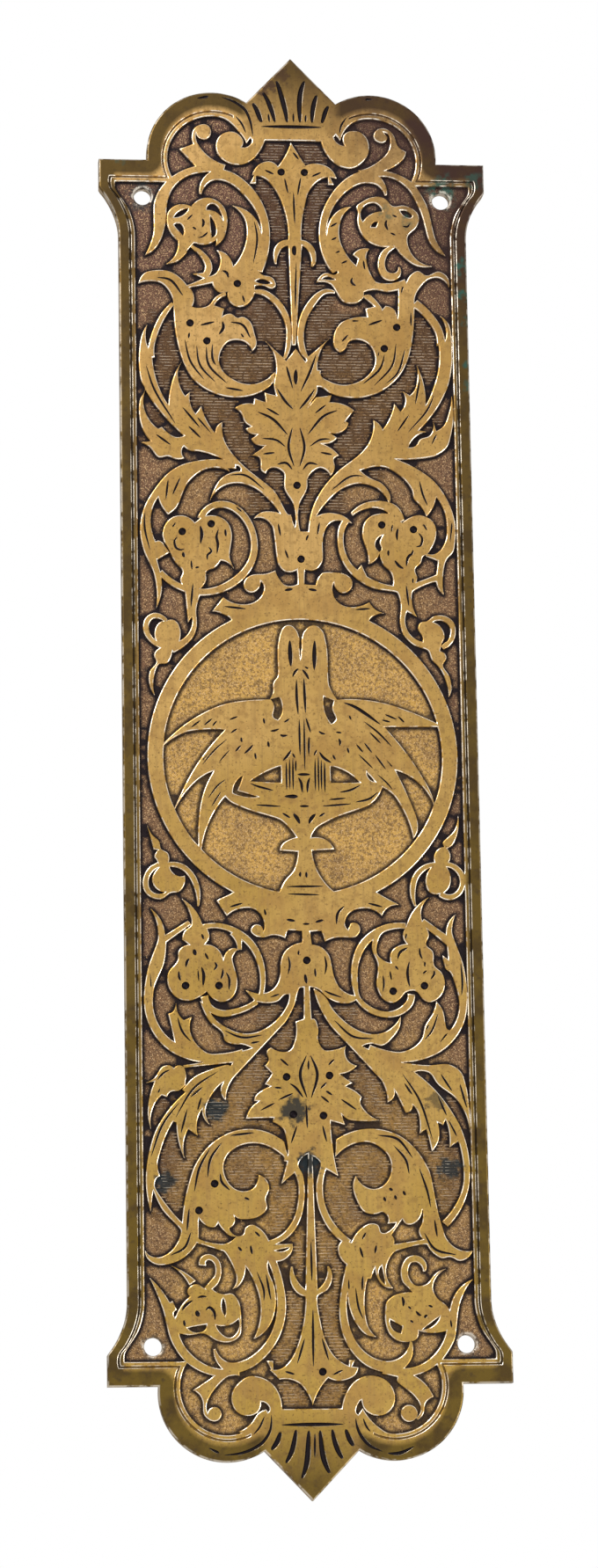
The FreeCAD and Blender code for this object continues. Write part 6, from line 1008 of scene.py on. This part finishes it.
    # Corner gone brown, verdigris and dark stains
    corner = ramp(tree, math_node(tree, "ADD", x, math_node(tree, "MULTIPLY", z, 0.6)), 0.100, 0.128, 0.0, 0.95)
    corner = math_node(tree, "MAXIMUM", corner, stains(tree, flat, fine, BROWN_STAINS))
    corner = math_node(tree, "MULTIPLY", corner, ramp(tree, cloud, 0.3, 0.6, 0.4, 1.0))
    color = mix(tree, corner, color, (0.055, 0.028, 0.022, 1))
    color = mix(tree, stains(tree, flat, fine, DARK_STAINS), color, (0.022, 0.03, 0.034, 1))
    green = math_node(tree, "MULTIPLY", stains(tree, flat, cloud, VERDIGRIS), ramp(tree, fine, 0.42, 0.58))
    color = mix(tree, green, color, (0.035, 0.11, 0.085, 1))
    # Painted shade: cut floors, the dark lip of each cut and the insides of the punched dots go near black
    color = mix(tree, ramp(tree, edge, 0.0, -0.6), color, (0.014, 0.010, 0.012, 1))

    # Outer sides and back: bare cast skin, browned by age
    skin = mix(tree, ramp(tree, cloud, 0.4, 0.6), (0.30, 0.20, 0.085, 1), (0.17, 0.105, 0.04, 1))
    skin = mix(tree, ramp(tree, fine, 0.5, 0.68, 0.0, 0.6), skin, (0.08, 0.05, 0.025, 1))
    behind = ramp(tree, y, FRONT / 1000 + 0.0002, FRONT / 1000 + 0.0006)
    beyond = math_node(tree, "MULTIPLY", ramp(tree, rim, 0.4, 0.2), behind)
    beyond = math_node(tree, "MAXIMUM", beyond, ramp(tree, y, GROUND / 1000 + 0.0004, GROUND / 1000 + 0.001))
    color = mix(tree, beyond, color, skin)

    # Painted highlights (glints) on the shoulders, hole rims, cut lips and texture tips, in broken lengths
    broken = ramp(tree, noise(tree, place, 420.0, 3.0), 0.42, 0.56)
    painted_glint = math_node(tree, "MULTIPLY", ramp(tree, edge, 0.35, 0.9), broken)
    painted_glint = math_node(tree, "MULTIPLY", painted_glint, ramp(tree, rim, 0.6, 1.2, 0.4, 1.0))
    color = mix(tree, painted_glint, color, (0.97, 0.88, 0.74, 1))
    rough = math_node(tree, "ADD", ramp(tree, sunk, 0.0, 1.0, 0.38, 0.55), ramp(tree, cloud, 0.2, 0.8, -0.08, 0.10))
    rough = math_node(tree, "SUBTRACT", rough, math_node(tree, "MULTIPLY", painted_glint, 0.12))
    lumps = math_node(tree, "MULTIPLY", ramp(tree, sunk, 0.0, 1.0, 0.15, 1.0), speck)
    height = math_node(tree, "ADD", lumps, math_node(tree, "MULTIPLY", cloud, 0.3))
    for name, value in (("Color", color), ("Roughness", rough), ("Height", height)):
        tree.links.new(value, out.inputs[name])
    return tree


def brass(name, group, bump):
    material = bpy.data.materials.new(name)
    material.use_nodes = True
    tree = material.node_tree
    shader = tree.nodes["Principled BSDF"]
    shader.inputs["Metallic"].default_value = 0.9
    tarnish_and_light = add(tree, "ShaderNodeGroup", node_tree=group)
    relief = add(tree, "ShaderNodeBump", {"Height": tarnish_and_light.outputs["Height"], "Strength": bump, "Distance": 0.0003})
    tree.links.new(tarnish_and_light.outputs["Color"], shader.inputs["Base Color"])
    tree.links.new(tarnish_and_light.outputs["Roughness"], shader.inputs["Roughness"])
    tree.links.new(relief.outputs["Normal"], shader.inputs["Normal"])
    return material


tarnish_and_light = tarnish_and_painted_light_group()
aged_brass = brass("worn_brass", tarnish_and_light, 0.35)
ground_brass = brass("worn_brass_ground", tarnish_and_light, 0.2)
plate.data.materials.append(aged_brass)
print("material", aged_brass.name)

# %% [markdown]
# ## Ruled and stippled ground
# The texture belongs to the ground alone, so its tree gets a copy of the ground's faces, with the distance
# from the nearest outline to keep clear of the walls. The result is made into a plain mesh, whose tips are
# marked for a painted highlight.

# %% Lay the texture on the ground
corners = sorted({i for face in ground_faces for i in face})
renumber = {i: n for n, i in enumerate(corners)}
renumbered = [[renumber[i] for i in face] for face in ground_faces]
texture = mesh_piece("ground_texture", [places[i] for i in corners], renumbered)
for name, wanted in (("ruled_room", True), ("stippled_room", False)):
    room = [reach[i] if is_ruled(places[i][0], places[i][2]) == wanted else 0.0 for i in corners]
    texture.data.attributes.new(name, "FLOAT", "POINT").data.foreach_set("value", room)
layer = texture.modifiers.new("texture", "NODES")
layer.node_group = ground_tree()
set_inputs(layer, {"Row pitch": 0.00075, "Ridge length": 0.0012, "Ridge size": 0.0002, "Pebble gap": 0.00062,
                   "Pebble size": 0.0003, "Seed": 7, "Metal": ground_brass})
plain = bpy.data.meshes.new_from_object(texture.evaluated_get(bpy.context.evaluated_depsgraph_get()))
texture.modifiers.clear()
texture.data = plain
# Tips of the ridges and pebbles are marked for a painted highlight (glint)
tip_glints = []
for vertex in plain.vertices:
    x, y, z = vertex.co * 1000
    tip_glints.append(0.0 if y > GROUND - 0.05 else 0.7 if is_ruled(x, z) else 0.55)
for name, values in (("edge", tip_glints), ("reach", [1.5] * len(tip_glints)), ("rim", [9.0] * len(tip_glints))):
    kept = plain.attributes.get(name) or plain.attributes.new(name, "FLOAT", "POINT")
    kept.data.foreach_set("value", values)
print("ground texture", len(plain.polygons), "faces")

# %% [markdown]
# ## Studio
# The plate hangs upright in its own frame, seen from a little below and to its left, as in the photograph.
# The camera stands about a metre away with a long lens, so that the long sides stay nearly parallel.

# %% Camera
FOCAL_PIXELS, PHOTO_HEIGHT = 5000, 1783
ANGLES = (-0.192847, -0.100812, -0.016059)
AWAY = Vector((0.5963, -6.6173, 1063.66)) / 1000
turn = Matrix.Rotation(ANGLES[2], 3, "Z") @ Matrix.Rotation(ANGLES[0], 3, "X") @ Matrix.Rotation(ANGLES[1], 3, "Y")


def to_frame(v):
    return Vector((v[0], v[2], -v[1]))


right, down, depth = (to_frame(turn[i]) for i in range(3))
spot = to_frame(-(turn.transposed() @ AWAY)) + Vector((0, FRONT / 1000, 0))
eye = bpy.data.cameras.new("view")
eye.sensor_fit = "VERTICAL"
eye.sensor_height = 36.0
eye.lens = FOCAL_PIXELS / PHOTO_HEIGHT * eye.sensor_height
camera = bpy.data.objects.new("view", eye)
camera.matrix_world = Matrix.Translation(spot) @ Matrix((right, -down, -depth)).transposed().to_4x4()
bpy.context.scene.collection.objects.link(camera)
bpy.context.scene.camera = camera
print("camera at", [round(v, 3) for v in spot])

# %% [markdown]
# ## Light and floor
# Two soft lamps, one high on the left and one low on the right, light the plate; the bright lines on the shoulders
# and the dark cuts are painted as well. The world is white to the camera and a little dimmer as light. A pale floor
# lies well below.

# %% Light and floor
AMBIENT = 0.72
WIDE, LOW = 1500, -420


def lamp(name, place, aim, size, power):
    light = bpy.data.lights.new(name, "AREA")
    light.size = size
    light.energy = power
    item = bpy.data.objects.new(name, light)
    item.location = place
    item.rotation_euler = (Vector(aim) - Vector(place)).to_track_quat("-Z", "Y").to_euler()
    bpy.context.scene.collection.objects.link(item)


lamp("high_left", (-0.5, -0.7, 0.6), (0, 0, 0), 0.5, 7.5)
lamp("low_right", (0.75, -0.7, -0.3), (0, 0, 0), 0.4, 5.0)
world = bpy.data.worlds.new("studio")
world.use_nodes = True
sky = world.node_tree
rays = add(sky, "ShaderNodeLightPath")
seen = math_node(sky, "MAXIMUM", rays.outputs["Is Camera Ray"], rays.outputs["Is Transmission Ray"])
sky.nodes["Background"].inputs["Color"].default_value = (1, 1, 1, 1)
sky.links.new(ramp(sky, seen, 0.0, 1.0, AMBIENT, 1.0), sky.nodes["Background"].inputs["Strength"])
bpy.context.scene.world = world
floor_corners = [(-WIDE, -WIDE, LOW), (WIDE, -WIDE, LOW), (WIDE, WIDE, LOW), (-WIDE, WIDE, LOW)]
floor = mesh_piece("floor", floor_corners, [(0, 1, 2, 3)])
paper = bpy.data.materials.new("pale_paper")
paper.use_nodes = True
paper_tree = paper.node_tree
fibre = noise(paper_tree, add(paper_tree, "ShaderNodeTexCoord").outputs["Object"], 60.0)
pale = mix(paper_tree, fibre, (0.86, 0.86, 0.86, 1), (0.9, 0.9, 0.9, 1))
paper_tree.links.new(pale, paper_tree.nodes["Principled BSDF"].inputs["Base Color"])
paper_tree.nodes["Principled BSDF"].inputs["Roughness"].default_value = 0.9
floor.data.materials.append(paper)
bpy.context.scene.view_settings.view_transform = "Standard"

# %% [markdown]
# ## Hand over
# Nothing moves, so both pieces ride on the root. The plate stands in for the solid, and the texture is a
# skin on its ground. Both are of the same brass.

# %% Hand over
for piece in (plate, texture):
    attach(piece, "root")
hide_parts("finger_plate")
